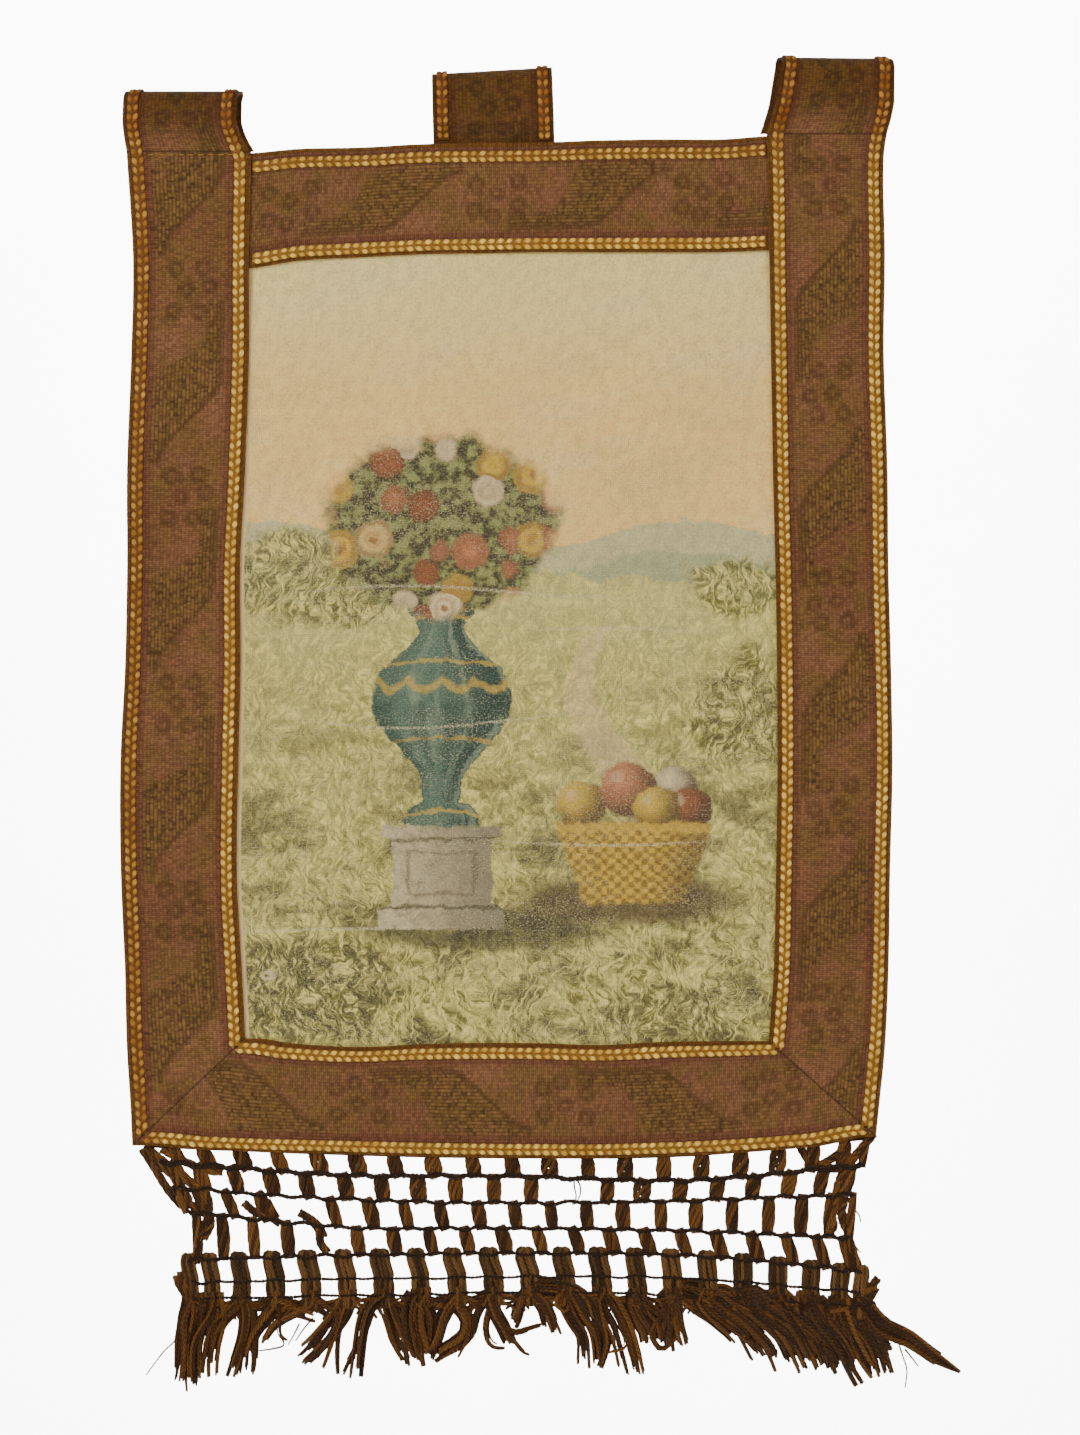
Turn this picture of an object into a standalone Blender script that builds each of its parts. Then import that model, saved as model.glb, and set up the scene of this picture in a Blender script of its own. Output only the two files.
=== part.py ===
"""Bordered tapestry wall hanging: a picture cloth framed by patterned galloon strips edged with
gold braid, three hanging loops along the top and a knotted net fringe along the hem.

World frame: metres, +Z up, the front faces -Y. X runs along the rod that the loops hang on, and
the origin is on that rod's centre line. All sizes below are in millimetres. A drop is a distance
below the rod's centre line.
"""

import math
import random
from collections import namedtuple

import bmesh
import bpy

MM = 0.001
SEED = 11
SMOOTHING_ANGLE = 50

# Cloth thicknesses and the gaps between layers
GALLOON_THICK = 1.3
PICTURE_THICK = 1.0
HEADING_THICK = 2.0
LAYER_GAP = 0.4
BUTT_GAP = 0.3
MITRE_GAP = 0.75 * BUTT_GAP
FRONT_LAYER = -GALLOON_THICK / 2
SECOND_LAYER = GALLOON_THICK / 2 + LAYER_GAP
THIRD_LAYER = SECOND_LAYER + GALLOON_THICK + LAYER_GAP

# Long strips are laid out in steps no longer than this, and across their width in finer ones
STEP = 21.0
SIDE_CROSS_STEP = 16.0
LEVEL_CROSS_STEP = 20.0
PICTURE_CROSS_STEP = 24.0
SIDE_STRIP_WIDTH = 60.0
LEVEL_STRIP_WIDTH = 58.5
BOTTOM_STRIP_LENGTH = 388.0
TOP_STRIP_LENGTH = 290.0
PICTURE_WIDTH = 290.0
PICTURE_HEIGHT = 415.0
PICTURE_MIDDLE_DROP = 280.0
STRIP_WIDTH_DROP = 250.0
# The picture lies one layer deeper behind the top strip, and comes forward below it
LIFT_BELOW_STRIP = 4.0
LIFT_LENGTH = 34.0
PICTURE_MARGIN = 9.0
TOP_STRIP_TUCK = 8.0
LEFT_SEAM_DROP = 25.2
RIGHT_SEAM_DROP = 16.0

# The outline of the border, as it hangs: where each strip's edges lie at a few drops
SideEdges = namedtuple("SideEdges", "drop left_outer left_inner right_inner right_outer")
SIDE_EDGES = [
    SideEdges(10, -198.6, -133.0, 134.6, 198.6),
    SideEdges(30, -197.5, -133.1, 135.7, 195.9),
    SideEdges(80, -194.5, -134.2, 136.5, 196.6),
    SideEdges(130, -195.4, -134.2, 137.3, 196.0),
    SideEdges(190, -197.6, -136.2, 138.3, 197.9),
    SideEdges(240, -197.6, -138.8, 139.6, 198.4),
    SideEdges(290, -198.6, -138.6, 140.4, 199.7),
    SideEdges(345, -201.2, -139.9, 140.7, 200.5),
    SideEdges(400, -201.0, -140.7, 139.9, 199.2),
    SideEdges(450, -198.9, -138.1, 138.8, 198.4),
    SideEdges(490, -197.9, -136.2, 136.0, 196.6),
    SideEdges(520, -196.0, -135.5, 135.0, 193.7),
    SideEdges(550, -194.6, -135.0, 134.0, 190.6),
]
LevelEdges = namedtuple("LevelEdges", "x top picture_top picture_bottom hem")
LEVEL_EDGES = [
    LevelEdges(-195, 26.2, 86.0, 485.5, 542.0),
    LevelEdges(-160, 26.1, 86.0, 485.8, 544.4),
    LevelEdges(-134, 25.9, 85.8, 486.3, 545.4),
    LevelEdges(-108, 23.6, 81.8, 489.3, 546.0),
    LevelEdges(-76, 22.9, 80.1, 490.8, 546.8),
    LevelEdges(-45, 21.2, 78.5, 489.3, 547.6),
    LevelEdges(-14, 20.6, 78.0, 488.6, 548.2),
    LevelEdges(17, 20.3, 77.5, 488.8, 548.5),
    LevelEdges(48, 19.2, 77.5, 489.8, 548.6),
    LevelEdges(80, 18.7, 77.5, 488.3, 547.8),
    LevelEdges(111, 18.7, 77.4, 487.8, 546.6),
    LevelEdges(137, 16.9, 76.4, 487.8, 544.8),
    LevelEdges(165, 16.7, 76.0, 487.5, 542.3),
    LevelEdges(184, 16.7, 76.0, 487.3, 540.0),
    LevelEdges(193, 16.7, 76.0, 487.2, 537.2),
]
OUTER_CORNER_DROP = {"left": 542.2, "right": 537.4}
INNER_CORNER_DROP = {"left": 486.5, "right": 487.8}

# Hanging loops: widths at the top, waist and seam, and the slant of each top
Tab = namedtuple(
    "Tab",
    "name top_left top_right waist_left waist_right seam_left seam_right"
    " rise_left rise_right seam_drop fused front back_shift",
)
TABS = [
    Tab("left", -198.6, -138.8, -199.7, -140.6, -197.8, -133.6,
        6.2, 6.2, LEFT_SEAM_DROP, 5.0, FRONT_LAYER, 2.4),
    Tab("centre", -39.0, 23.4, -38.6, 24.4, -38.0, 25.0,
        15.1, 18.7, 30.0, 10.5, THIRD_LAYER, 0.0),
    Tab("right", 143.0, 200.7, 140.6, 201.6, 134.8, 197.6,
        23.9, 23.2, RIGHT_SEAM_DROP, 5.0, FRONT_LAYER, -3.2),
]
LOOP_WALL = 1.4
LOOP_HALF_DEPTH = 4.0
LOOP_PINCH = 0.3
LOOP_TIGHT_PINCH = 0.7 * LOOP_PINCH
LOOP_PINCH_RISE = 0.4
LOOP_OPENING = 11.0
LOOP_LEVELS = (0.8, 4.0, 7.5, 11.0)
LOOP_ARC_STEPS = 4
LOOP_COLUMNS = 4

# Gold braid: its middle from the strip's edge, its base and crest widths, and its height
BRAID_INSET = 5.2
TOP_UPPER_INSET = 7.2
TOP_LOWER_INSET = 4.6
HEM_INSET = 4.4
BRAID_BASE = 5.4
BRAID_CREST = 3.4
BRAID_GAP = 0.35
BRAID_HEIGHT = 0.9
BRAID_END_GAP = 1.2
HEM_BRAID_GAP = 1.552
TOP_BRAID_LENGTH = 280.0

# The cloth's slow waves, deepest towards the hem
WAVE_DEPTH = 1.7
WAVE_LENGTH = 270.0
SWAY_DEPTH = 1.0
SWAY_LENGTH = 460.0
WAVE_FULL_DROP = 260.0

# Net fringe: its crosswise lines, with their drops at the left end, middle and right end and
# halfway between these
NetLine = namedtuple(
    "NetLine",
    "x_left x_middle x_right drop_left drop_left_half drop_middle drop_right_half drop_right"
    " height",
)
HEADING_HEIGHT = 8.0
HEADING = NetLine(-187.7, 1.5, 187.5, 540.0, 543.6, 545.4, 544.6, 535.8, HEADING_HEIGHT)
NET_BARS = [
    NetLine(-180.4, 3.2, 184.6, 550.7, 557.3, 557.9, 560.3, 552.4, 3.0),
    NetLine(-174.2, 3.0, 180.4, 564.2, 569.9, 571.8, 570.9, 567.3, 2.0),
    NetLine(-166.9, 5.3, 178.4, 576.7, 584.6, 584.9, 586.6, 590.2, 2.0),
    NetLine(-165.9, 9.5, 184.6, 601.6, 599.1, 598.0, 599.6, 607.5, 2.2),
]
NET_THREADS = [
    NetLine(-164.3, 12.0, 183.6, 613.6, 611.4, 610.2, 611.4, 618.4, 1.8),
    NetLine(-164.3, 12.6, 184.4, 621.9, 619.8, 618.2, 620.2, 625.6, 1.8),
]
BUNDLES = 21
END_CROWDING = 0.08
END_CROWDING_POWER = 8
BUNDLE_WIDTHS = {1: 6.8, 2: 6.8, 3: 6.0, 4: 6.0, 5: 7.4}
END_NARROWING = 0.4
BUNDLE_DEPTH = 3.4
LONG_BUNDLE_WIDTH = 8.4
LONG_BUNDLE_DEPTH = 4.4
LONG_BUNDLE_TAIL = 3.0
THREAD_WIDTH = 1.2
THREAD_SAG = 0.4
NET_MIDDLE = 2.05
# Bundles torn out of the net, as (row, place along the row)
TORN_BUNDLES = {(2, 11), (3, 4), (4, 4)}

# Tassel ends: where the outermost locks of each long bundle reach to
Tassel = namedtuple("Tassel", "tip_left tip_right drop_left drop_right")
TASSELS = [
    Tassel(-170.6, -161.2, 655, 668),
    Tassel(-161.7, -152.4, 661, 665),
    Tassel(-146.1, -133.6, 662, 655),
    Tassel(-148.2, -127.4, 652, 647),
    Tassel(-120.1, -107.6, 648, 656),
    Tassel(-98.3, -85.8, 657, 663),
    Tassel(-81.6, -72.3, 660, 664),
    Tassel(-53.6, -43.2, 657, 654),
    Tassel(-34.8, -26.5, 648, 654),
    Tassel(3.0, 19.8, 640, 650),
    Tassel(23.4, 31.7, 644, 641),
    Tassel(40.0, 48.4, 654, 657),
    Tassel(47.3, 55.6, 651, 648),
    Tassel(61.4, 69.2, 660, 663),
    Tassel(79.6, 92.0, 645, 648),
    Tassel(120.1, 132.6, 648, 652),
    Tassel(134.2, 146.1, 654, 657),
    Tassel(149.8, 160.2, 658, 661),
    Tassel(165.9, 174.2, 659, 662),
    Tassel(181.0, 190.8, 661, 664),
    Tassel(192.9, 235.6, 663, 660),
]
LOCK_COLUMNS = 3
LOCK_ROWS = 2
LOCK_INSET = 0.32
LOCK_STEPS = 4
LOCK_TIP = 0.5
LOCK_SWING = 1.35
LOCK_WAVES = 5.0
LOCK_ROOT_GAP = 0.25
LOCK_TAPER = 1.6
LOCK_PARTING = 3.2
LOCK_FANNING = 0.3
LOCK_PARTED_BY = 0.6
LOCK_WANDER = 0.5
LOCK_SHORTFALL = 2.5

# Colours as (red, green, blue, alpha), roughness, metallic
GALLOON_LOOK = ((0.165, 0.078, 0.032, 1.0), 0.92, 0.0)
TAB_LOOK = ((0.115, 0.050, 0.018, 1.0), 0.93, 0.0)
PICTURE_LOOK = ((0.430, 0.345, 0.180, 1.0), 0.93, 0.0)
BRAID_LOOK = ((0.400, 0.195, 0.045, 1.0), 0.62, 0.15)
FRINGE_LOOK = ((0.085, 0.036, 0.012, 1.0), 0.95, 0.0)


def clear_scene():
    for thing in list(bpy.data.objects):
        bpy.data.objects.remove(thing, do_unlink=True)


def lerp(a, b, t):
    return a + (b - a) * t


def smooth_step(t):
    t = min(max(t, 0.0), 1.0)
    return t * t * (3.0 - 2.0 * t)


def steps(length, step=STEP):
    """Even fractions from 0 to 1 along a length, no further apart than one step."""
    count = max(1, math.ceil(length / step))
    return [i / count for i in range(count + 1)]


def table_curve(rows, key, value):
    """A smooth curve through one column of a table, read by another column."""
    keys = [getattr(row, key) for row in rows]
    values = [getattr(row, value) for row in rows]
    slopes = []
    for i in range(len(keys)):
        before = max(i - 1, 0)
        after = min(i + 1, len(keys) - 1)
        slopes.append((values[after] - values[before]) / (keys[after] - keys[before]))

    def read(at):
        if at <= keys[0]:
            return values[0]
        if at >= keys[-1]:
            return values[-1]
        i = max(n for n in range(len(keys) - 1) if keys[n] <= at)
        span = keys[i + 1] - keys[i]
        t = (at - keys[i]) / span
        ease = t * t * (3.0 - 2.0 * t)
        swing_out = t * (1.0 - t) ** 2 * slopes[i] * span
        swing_in = t * t * (1.0 - t) * slopes[i + 1] * span
        return lerp(values[i], values[i + 1], ease) + swing_out - swing_in

    return read


OUTER_EDGE = {
    "left": table_curve(SIDE_EDGES, "drop", "left_outer"),
    "right": table_curve(SIDE_EDGES, "drop", "right_outer"),
}
INNER_EDGE = {
    "left": table_curve(SIDE_EDGES, "drop", "left_inner"),
    "right": table_curve(SIDE_EDGES, "drop", "right_inner"),
}
TOP_EDGE = table_curve(LEVEL_EDGES, "x", "top")
PICTURE_TOP = table_curve(LEVEL_EDGES, "x", "picture_top")
PICTURE_BOTTOM = table_curve(LEVEL_EDGES, "x", "picture_bottom")
HEM = table_curve(LEVEL_EDGES, "x", "hem")
SEAM_DROP = {"left": LEFT_SEAM_DROP, "right": RIGHT_SEAM_DROP}


def drape(x, z):
    """How far back the cloth's middle plane lies at a place, from its slow waves."""
    hang = smooth_step(-z / WAVE_FULL_DROP)
    wave = math.sin(2.0 * math.pi * (x + 0.12 * z) / WAVE_LENGTH + 0.6)
    sway = math.sin(2.0 * math.pi * (z - 0.5 * x) / SWAY_LENGTH)
    return hang * (WAVE_DEPTH * wave + SWAY_DEPTH * sway)


def plain_material(name, look):
    colour, roughness, metallic = look
    material = bpy.data.materials.new(name)
    material.use_nodes = True
    shader = material.node_tree.nodes["Principled BSDF"]
    shader.inputs["Base Color"].default_value = colour
    shader.inputs["Roughness"].default_value = roughness
    shader.inputs["Metallic"].default_value = metallic
    material.diffuse_color = colour
    return material


class Skin:
    """Collects the corners and faces of one closed solid."""

    def __init__(self):
        self.corners = []
        self.faces = []

    def corner(self, x, y, z):
        self.corners.append((x * MM, y * MM, z * MM))
        return len(self.corners) - 1

    def face(self, *corners):
        self.faces.append(corners)

    def bridge(self, ring, next_ring):
        """Walls between two rings of corners in the same order."""
        count = len(ring)
        for i in range(count):
            j = (i + 1) % count
            self.face(ring[i], ring[j], next_ring[j], next_ring[i])

    def build(self, name, look, smooth=False):
        mesh = bpy.data.meshes.new(name)
        mesh.from_pydata(self.corners, [], self.faces)
        shape = bmesh.new()
        shape.from_mesh(mesh)
        bmesh.ops.recalc_face_normals(shape, faces=shape.faces)
        shape.to_mesh(mesh)
        shape.free()
        if smooth:
            mesh.shade_smooth()
            mesh.set_sharp_from_angle(angle=math.radians(SMOOTHING_ANGLE))
        mesh.materials.append(plain_material(name, look))
        thing = bpy.data.objects.new(name, mesh)
        bpy.context.scene.collection.objects.link(thing)
        return thing


def cloth_sheet(name, rows, thickness, look):
    """A closed sheet of cloth over a grid of (x, front y, z) spots."""
    skin = Skin()
    front = [[skin.corner(x, y, z) for x, y, z in row] for row in rows]
    back = [[skin.corner(x, y + thickness, z) for x, y, z in row] for row in rows]
    last_row = len(rows) - 1
    last_column = len(rows[0]) - 1
    for r in range(last_row):
        for c in range(last_column):
            skin.face(front[r][c], front[r][c + 1], front[r + 1][c + 1], front[r + 1][c])
            skin.face(back[r][c], back[r + 1][c], back[r + 1][c + 1], back[r][c + 1])
        for c in (0, last_column):
            skin.face(front[r][c], front[r + 1][c], back[r + 1][c], back[r][c])
    for c in range(last_column):
        for r in (0, last_row):
            skin.face(front[r][c], back[r][c], back[r][c + 1], front[r][c + 1])
    return skin.build(name, look)


def side_spot(side, across, along):
    """A place on a side strip: across runs outer to inner edge, along runs seam to mitre."""
    top = SEAM_DROP[side] + BUTT_GAP
    outer_drop = lerp(top, OUTER_CORNER_DROP[side] - MITRE_GAP, along)
    inner_drop = lerp(top, INNER_CORNER_DROP[side] - MITRE_GAP, along)
    x = lerp(OUTER_EDGE[side](outer_drop), INNER_EDGE[side](inner_drop), across)
    return x, -lerp(outer_drop, inner_drop, across)


def hem_spot(across, along):
    """A place on the bottom strip: across runs picture side to hem, along runs left to right."""
    inner_ends = [INNER_EDGE[side](INNER_CORNER_DROP[side]) for side in ("left", "right")]
    outer_ends = [OUTER_EDGE[side](OUTER_CORNER_DROP[side]) for side in ("left", "right")]
    nudge = MITRE_GAP * (1.0 - 2.0 * along)
    inner_x = lerp(inner_ends[0], inner_ends[1], along) + nudge
    outer_x = lerp(outer_ends[0], outer_ends[1], along) + nudge
    x = lerp(inner_x, outer_x, across)
    return x, -lerp(PICTURE_BOTTOM(inner_x), HEM(outer_x), across)


def top_spot(across, along):
    """A place on the top strip: across runs top edge to picture side, along runs left to right."""
    middle_drop = (TOP_EDGE(0) + PICTURE_TOP(0)) / 2
    left = INNER_EDGE["left"](middle_drop) - TOP_STRIP_TUCK
    right = INNER_EDGE["right"](middle_drop) + TOP_STRIP_TUCK
    x = lerp(left, right, along)
    return x, -lerp(TOP_EDGE(x), PICTURE_TOP(x), across)


def strip_layer(spot):
    """Which layer a strip's front face lies on."""
    return SECOND_LAYER if spot is top_spot else FRONT_LAYER


def on_layer(spot_xz, layer):
    x, z = spot_xz
    return x, drape(x, z) + layer, z


def make_side_strip(side):
    length = OUTER_CORNER_DROP[side] - SEAM_DROP[side]
    rows = [
        [
            on_layer(side_spot(side, across, along), FRONT_LAYER)
            for across in steps(SIDE_STRIP_WIDTH, SIDE_CROSS_STEP)
        ]
        for along in steps(length)
    ]
    cloth_sheet(f"side_strip_{side}", rows, GALLOON_THICK, GALLOON_LOOK)


def make_bottom_strip():
    rows = [
        [on_layer(hem_spot(across, along), FRONT_LAYER) for along in steps(BOTTOM_STRIP_LENGTH)]
        for across in steps(SIDE_STRIP_WIDTH, LEVEL_CROSS_STEP)
    ]
    cloth_sheet("bottom_strip", rows, GALLOON_THICK, GALLOON_LOOK)


def make_top_strip():
    rows = [
        [on_layer(top_spot(across, along), SECOND_LAYER) for along in steps(TOP_STRIP_LENGTH)]
        for across in steps(SIDE_STRIP_WIDTH, LEVEL_CROSS_STEP)
    ]
    cloth_sheet("top_strip", rows, GALLOON_THICK, GALLOON_LOOK)


def picture_spot(across, drop_from_top, reach_down):
    """A place on the picture cloth, which runs on under the strips by its margin."""
    left = INNER_EDGE["left"](PICTURE_MIDDLE_DROP)
    rough_x = lerp(left, INNER_EDGE["right"](PICTURE_MIDDLE_DROP), across)
    top = PICTURE_TOP(rough_x)
    bottom = PICTURE_BOTTOM(rough_x) + PICTURE_MARGIN
    drop = top + drop_from_top + (bottom - top - drop_from_top) * reach_down
    left = INNER_EDGE["left"](drop) - PICTURE_MARGIN
    right = INNER_EDGE["right"](drop) + PICTURE_MARGIN
    x = lerp(left, right, across)
    lift = 1.0 - smooth_step((drop - top - LIFT_BELOW_STRIP) / LIFT_LENGTH)
    return x, drape(x, -drop) + lerp(SECOND_LAYER, THIRD_LAYER, lift), -drop


def make_picture_panel():
    columns = steps(PICTURE_WIDTH, PICTURE_CROSS_STEP)
    rows = [[picture_spot(across, -PICTURE_MARGIN, 0.0) for across in columns]]
    for reach in steps(PICTURE_HEIGHT):
        rows.append([picture_spot(across, LIFT_BELOW_STRIP, reach) for across in columns])
    cloth_sheet("picture_panel", rows, PICTURE_THICK, PICTURE_LOOK)


def tab_edge(top, waist, seam, height):
    """A loop's side edge: a curve through its places at the top, the waist and the seam."""
    below = 2.0 * (0.5 - height) * (1.0 - height)
    middle = 4.0 * height * (1.0 - height)
    above = 2.0 * height * (height - 0.5)
    return seam * below + waist * middle + top * above


def tab_x(tab, across, height, rearward):
    """Across a loop at a height from 0 at its seam to 1 at its top, on its front or its back."""
    height = min(max(height, 0.0), 1.0)
    left = tab_edge(tab.top_left, tab.waist_left, tab.seam_left, height)
    right = tab_edge(tab.top_right, tab.waist_right, tab.seam_right, height)
    return lerp(left, right, across) + tab.back_shift * smooth_step(rearward)


def loop_outline(tab, across, growth):
    """A loop's section from its front foot over the top to its back foot, as (x, y, z) places.

    A growth of 0 gives the loop's inner face and LOOP_WALL its outer face.
    """
    outside = growth > 0.0
    extra = growth - LOOP_WALL
    foot = -tab.seam_drop
    pinch = foot + tab.fused
    top = lerp(tab.rise_left, tab.rise_right, across)
    shoulder = top - LOOP_WALL - LOOP_HALF_DEPTH
    seam_middle = tab.front + GALLOON_THICK

    def side_places(sign):
        places = []
        if outside:
            flat = seam_middle + sign * (GALLOON_THICK + extra)
            places.append((flat, foot))
            places.append((flat, pinch))
        else:
            places.append((seam_middle + sign * LOOP_TIGHT_PINCH, pinch))
            places.append((seam_middle + sign * LOOP_PINCH, pinch + LOOP_PINCH_RISE))
        for level in LOOP_LEVELS:
            opened = smooth_step(level / LOOP_OPENING)
            middle = lerp(seam_middle, 0.0, opened)
            half = lerp(LOOP_PINCH, LOOP_HALF_DEPTH, opened)
            places.append((middle + sign * (half + growth), pinch + level))
        places.append((sign * (LOOP_HALF_DEPTH + growth), shoulder))
        return places

    arc = []
    for i in range(1, LOOP_ARC_STEPS):
        turn = math.pi * i / LOOP_ARC_STEPS
        radius = LOOP_HALF_DEPTH + growth
        arc.append((-radius * math.cos(turn), shoulder + radius * math.sin(turn)))
    outline = side_places(-1.0) + arc + side_places(1.0)[::-1]
    places = []
    for i, (y, z) in enumerate(outline):
        height = (z - foot) / (top - foot)
        rearward = (i - len(outline) / 2 + 1) / 3.0
        places.append((tab_x(tab, across, height, rearward), y, z))
    return places


def make_tab(tab):
    skin = Skin()
    inner_rings = []
    outer_rings = []
    for across in steps(LOOP_COLUMNS, 1):
        inner_rings.append([skin.corner(*place) for place in loop_outline(tab, across, 0.0)])
        outer_rings.append([skin.corner(*place) for place in loop_outline(tab, across, LOOP_WALL)])
    for column in range(LOOP_COLUMNS):
        skin.bridge(outer_rings[column], outer_rings[column + 1])
        skin.bridge(inner_rings[column + 1], inner_rings[column])
    skin.bridge(inner_rings[0], outer_rings[0])
    skin.bridge(outer_rings[-1], inner_rings[-1])
    skin.build(f"tab_{tab.name}", TAB_LOOK, smooth=True)


def braid_section(skin, base_left, base_right, crest_right, crest_left):
    return [skin.corner(*place) for place in (base_left, base_right, crest_right, crest_left)]


def braid_offsets(edge_first, inset=BRAID_INSET):
    """Places of the base and crest rims from the strip's edge, as two (near, far) pairs."""
    base = (inset - BRAID_BASE / 2, inset + BRAID_BASE / 2)
    crest = (inset - BRAID_CREST / 2, inset + BRAID_CREST / 2)
    if edge_first:
        return base, crest
    return base[::-1], crest[::-1]


def flat_braid_sections(skin, spot, width, edge_first, alongs, inset=BRAID_INSET):
    """Sections of a braid laid on a strip beside its first edge or its second one."""
    sections = []
    layer = strip_layer(spot)
    base, crest = braid_offsets(edge_first, inset)
    for along in alongs:
        places = []
        for offsets, lift in ((base, BRAID_GAP), (crest, BRAID_GAP + BRAID_HEIGHT)):
            for offset in offsets:
                across = offset / width if edge_first else 1.0 - offset / width
                x, y, z = on_layer(spot(across, along), layer)
                places.append((x, y - lift, z))
        sections.append(braid_section(skin, places[0], places[1], places[3], places[2]))
    return sections


def loop_braid_sections(skin, tab, width, edge_first, first_place):
    """Sections of a braid that runs over a loop, from one place of its outline to the end."""
    base, crest = braid_offsets(edge_first)
    rims = []
    for offsets, lift in ((base, BRAID_GAP), (crest, BRAID_GAP + BRAID_HEIGHT)):
        for offset in offsets:
            across = offset / width if edge_first else 1.0 - offset / width
            rims.append(loop_outline(tab, across, LOOP_WALL + lift)[first_place:])
    return [
        braid_section(skin, rims[0][i], rims[1][i], rims[3][i], rims[2][i])
        for i in range(len(rims[0]))
    ]


def close_braid(skin, sections, name):
    skin.face(*sections[0])
    for section, next_section in zip(sections, sections[1:]):
        skin.bridge(section, next_section)
    skin.face(*sections[-1])
    skin.build(name, BRAID_LOOK, smooth=True)


def make_side_braids():
    """Gold braid up both edges of each side strip, on over its loop and down behind."""
    for side, tab in (("left", TABS[0]), ("right", TABS[2])):
        strip_width = abs(OUTER_EDGE[side](STRIP_WIDTH_DROP) - INNER_EDGE[side](STRIP_WIDTH_DROP))
        tab_width = tab.waist_right - tab.waist_left
        length = OUTER_CORNER_DROP[side] - SEAM_DROP[side]
        alongs = steps(length)[::-1]
        alongs[0] = 1.0 - BRAID_END_GAP / length

        def spot(across, along, side=side):
            return side_spot(side, across, along)

        for edge in ("outer", "inner"):
            skin = Skin()
            strip_first = edge == "outer"
            tab_first = strip_first == (side == "left")
            sections = flat_braid_sections(skin, spot, strip_width, strip_first, alongs[:-1])
            over = loop_braid_sections(skin, tab, tab_width, tab_first, 1)
            if side == "right":
                over = [[s[1], s[0], s[3], s[2]] for s in over]
            close_braid(skin, sections + over, f"braid_{side}_{edge}")


def make_level_braids():
    """Gold braid along both edges of the top and bottom strips."""
    tuck = (TOP_STRIP_TUCK + BRAID_END_GAP) / TOP_STRIP_LENGTH
    top_alongs = [lerp(tuck, 1.0 - tuck, t) for t in steps(TOP_BRAID_LENGTH)]
    end = HEM_BRAID_GAP / BOTTOM_STRIP_LENGTH
    hem_alongs = [lerp(end, 1.0 - end, t) for t in steps(BOTTOM_STRIP_LENGTH)]
    for name, spot, edge_first, alongs, inset in (
        ("braid_top_upper", top_spot, True, top_alongs, TOP_UPPER_INSET),
        ("braid_top_lower", top_spot, False, top_alongs, TOP_LOWER_INSET),
        ("braid_bottom_inner", hem_spot, True, hem_alongs, BRAID_INSET),
        ("braid_bottom_outer", hem_spot, False, hem_alongs, HEM_INSET),
    ):
        skin = Skin()
        sections = flat_braid_sections(skin, spot, LEVEL_STRIP_WIDTH, edge_first, alongs, inset)
        close_braid(skin, sections, name)


def make_centre_braids():
    """Gold braid over the centre loop, from just above the top strip."""
    tab = TABS[1]
    width = tab.waist_right - tab.waist_left
    for edge, edge_first in (("left", True), ("right", False)):
        skin = Skin()
        close_braid(
            skin, loop_braid_sections(skin, tab, width, edge_first, 2), f"braid_centre_{edge}"
        )


def crowded(place):
    """Bundle spacing from -1 to 1 along a net line: even, but crowded at both ends."""
    return (1.0 + END_CROWDING) * place - END_CROWDING * math.copysign(
        abs(place) ** END_CROWDING_POWER, place
    )


def line_x(line, place):
    shift = crowded(place)
    reach = line.x_right - line.x_middle if shift > 0.0 else line.x_middle - line.x_left
    return line.x_middle + shift * reach


LinePoint = namedtuple("LinePoint", "x drop")


def line_z(line, x):
    """The height of a net line, which sags unevenly between its ends."""
    points = [
        LinePoint(line.x_left, line.drop_left),
        LinePoint((line.x_left + line.x_middle) / 2, line.drop_left_half),
        LinePoint(line.x_middle, line.drop_middle),
        LinePoint((line.x_middle + line.x_right) / 2, line.drop_right_half),
        LinePoint(line.x_right, line.drop_right),
    ]
    return -table_curve(points, "x", "drop")(x)


def row_places(row):
    """Bundle places of a net row: every second row sits half a bundle further on."""
    if row % 2:
        return [2.0 * i / (BUNDLES - 1) - 1.0 for i in range(BUNDLES)]
    return [(2.0 * i + 1.0) / (BUNDLES - 1) - 1.0 for i in range(BUNDLES - 1)]


def bundle_spans(line, row):
    """The stretch of a line that each whole bundle of a row takes up."""
    spans = {}
    for i, place in enumerate(row_places(row)):
        if (row, i) not in TORN_BUNDLES:
            middle = line_x(line, place)
            narrowing = 1.0 - END_NARROWING * abs(place) ** END_CROWDING_POWER
            half = BUNDLE_WIDTHS[row] / 2 * narrowing
            spans[i] = (middle - half, middle + half)
    return spans


def net_middle(x, z):
    return drape(x, max(z, -HEM(0))) + NET_MIDDLE


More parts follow.
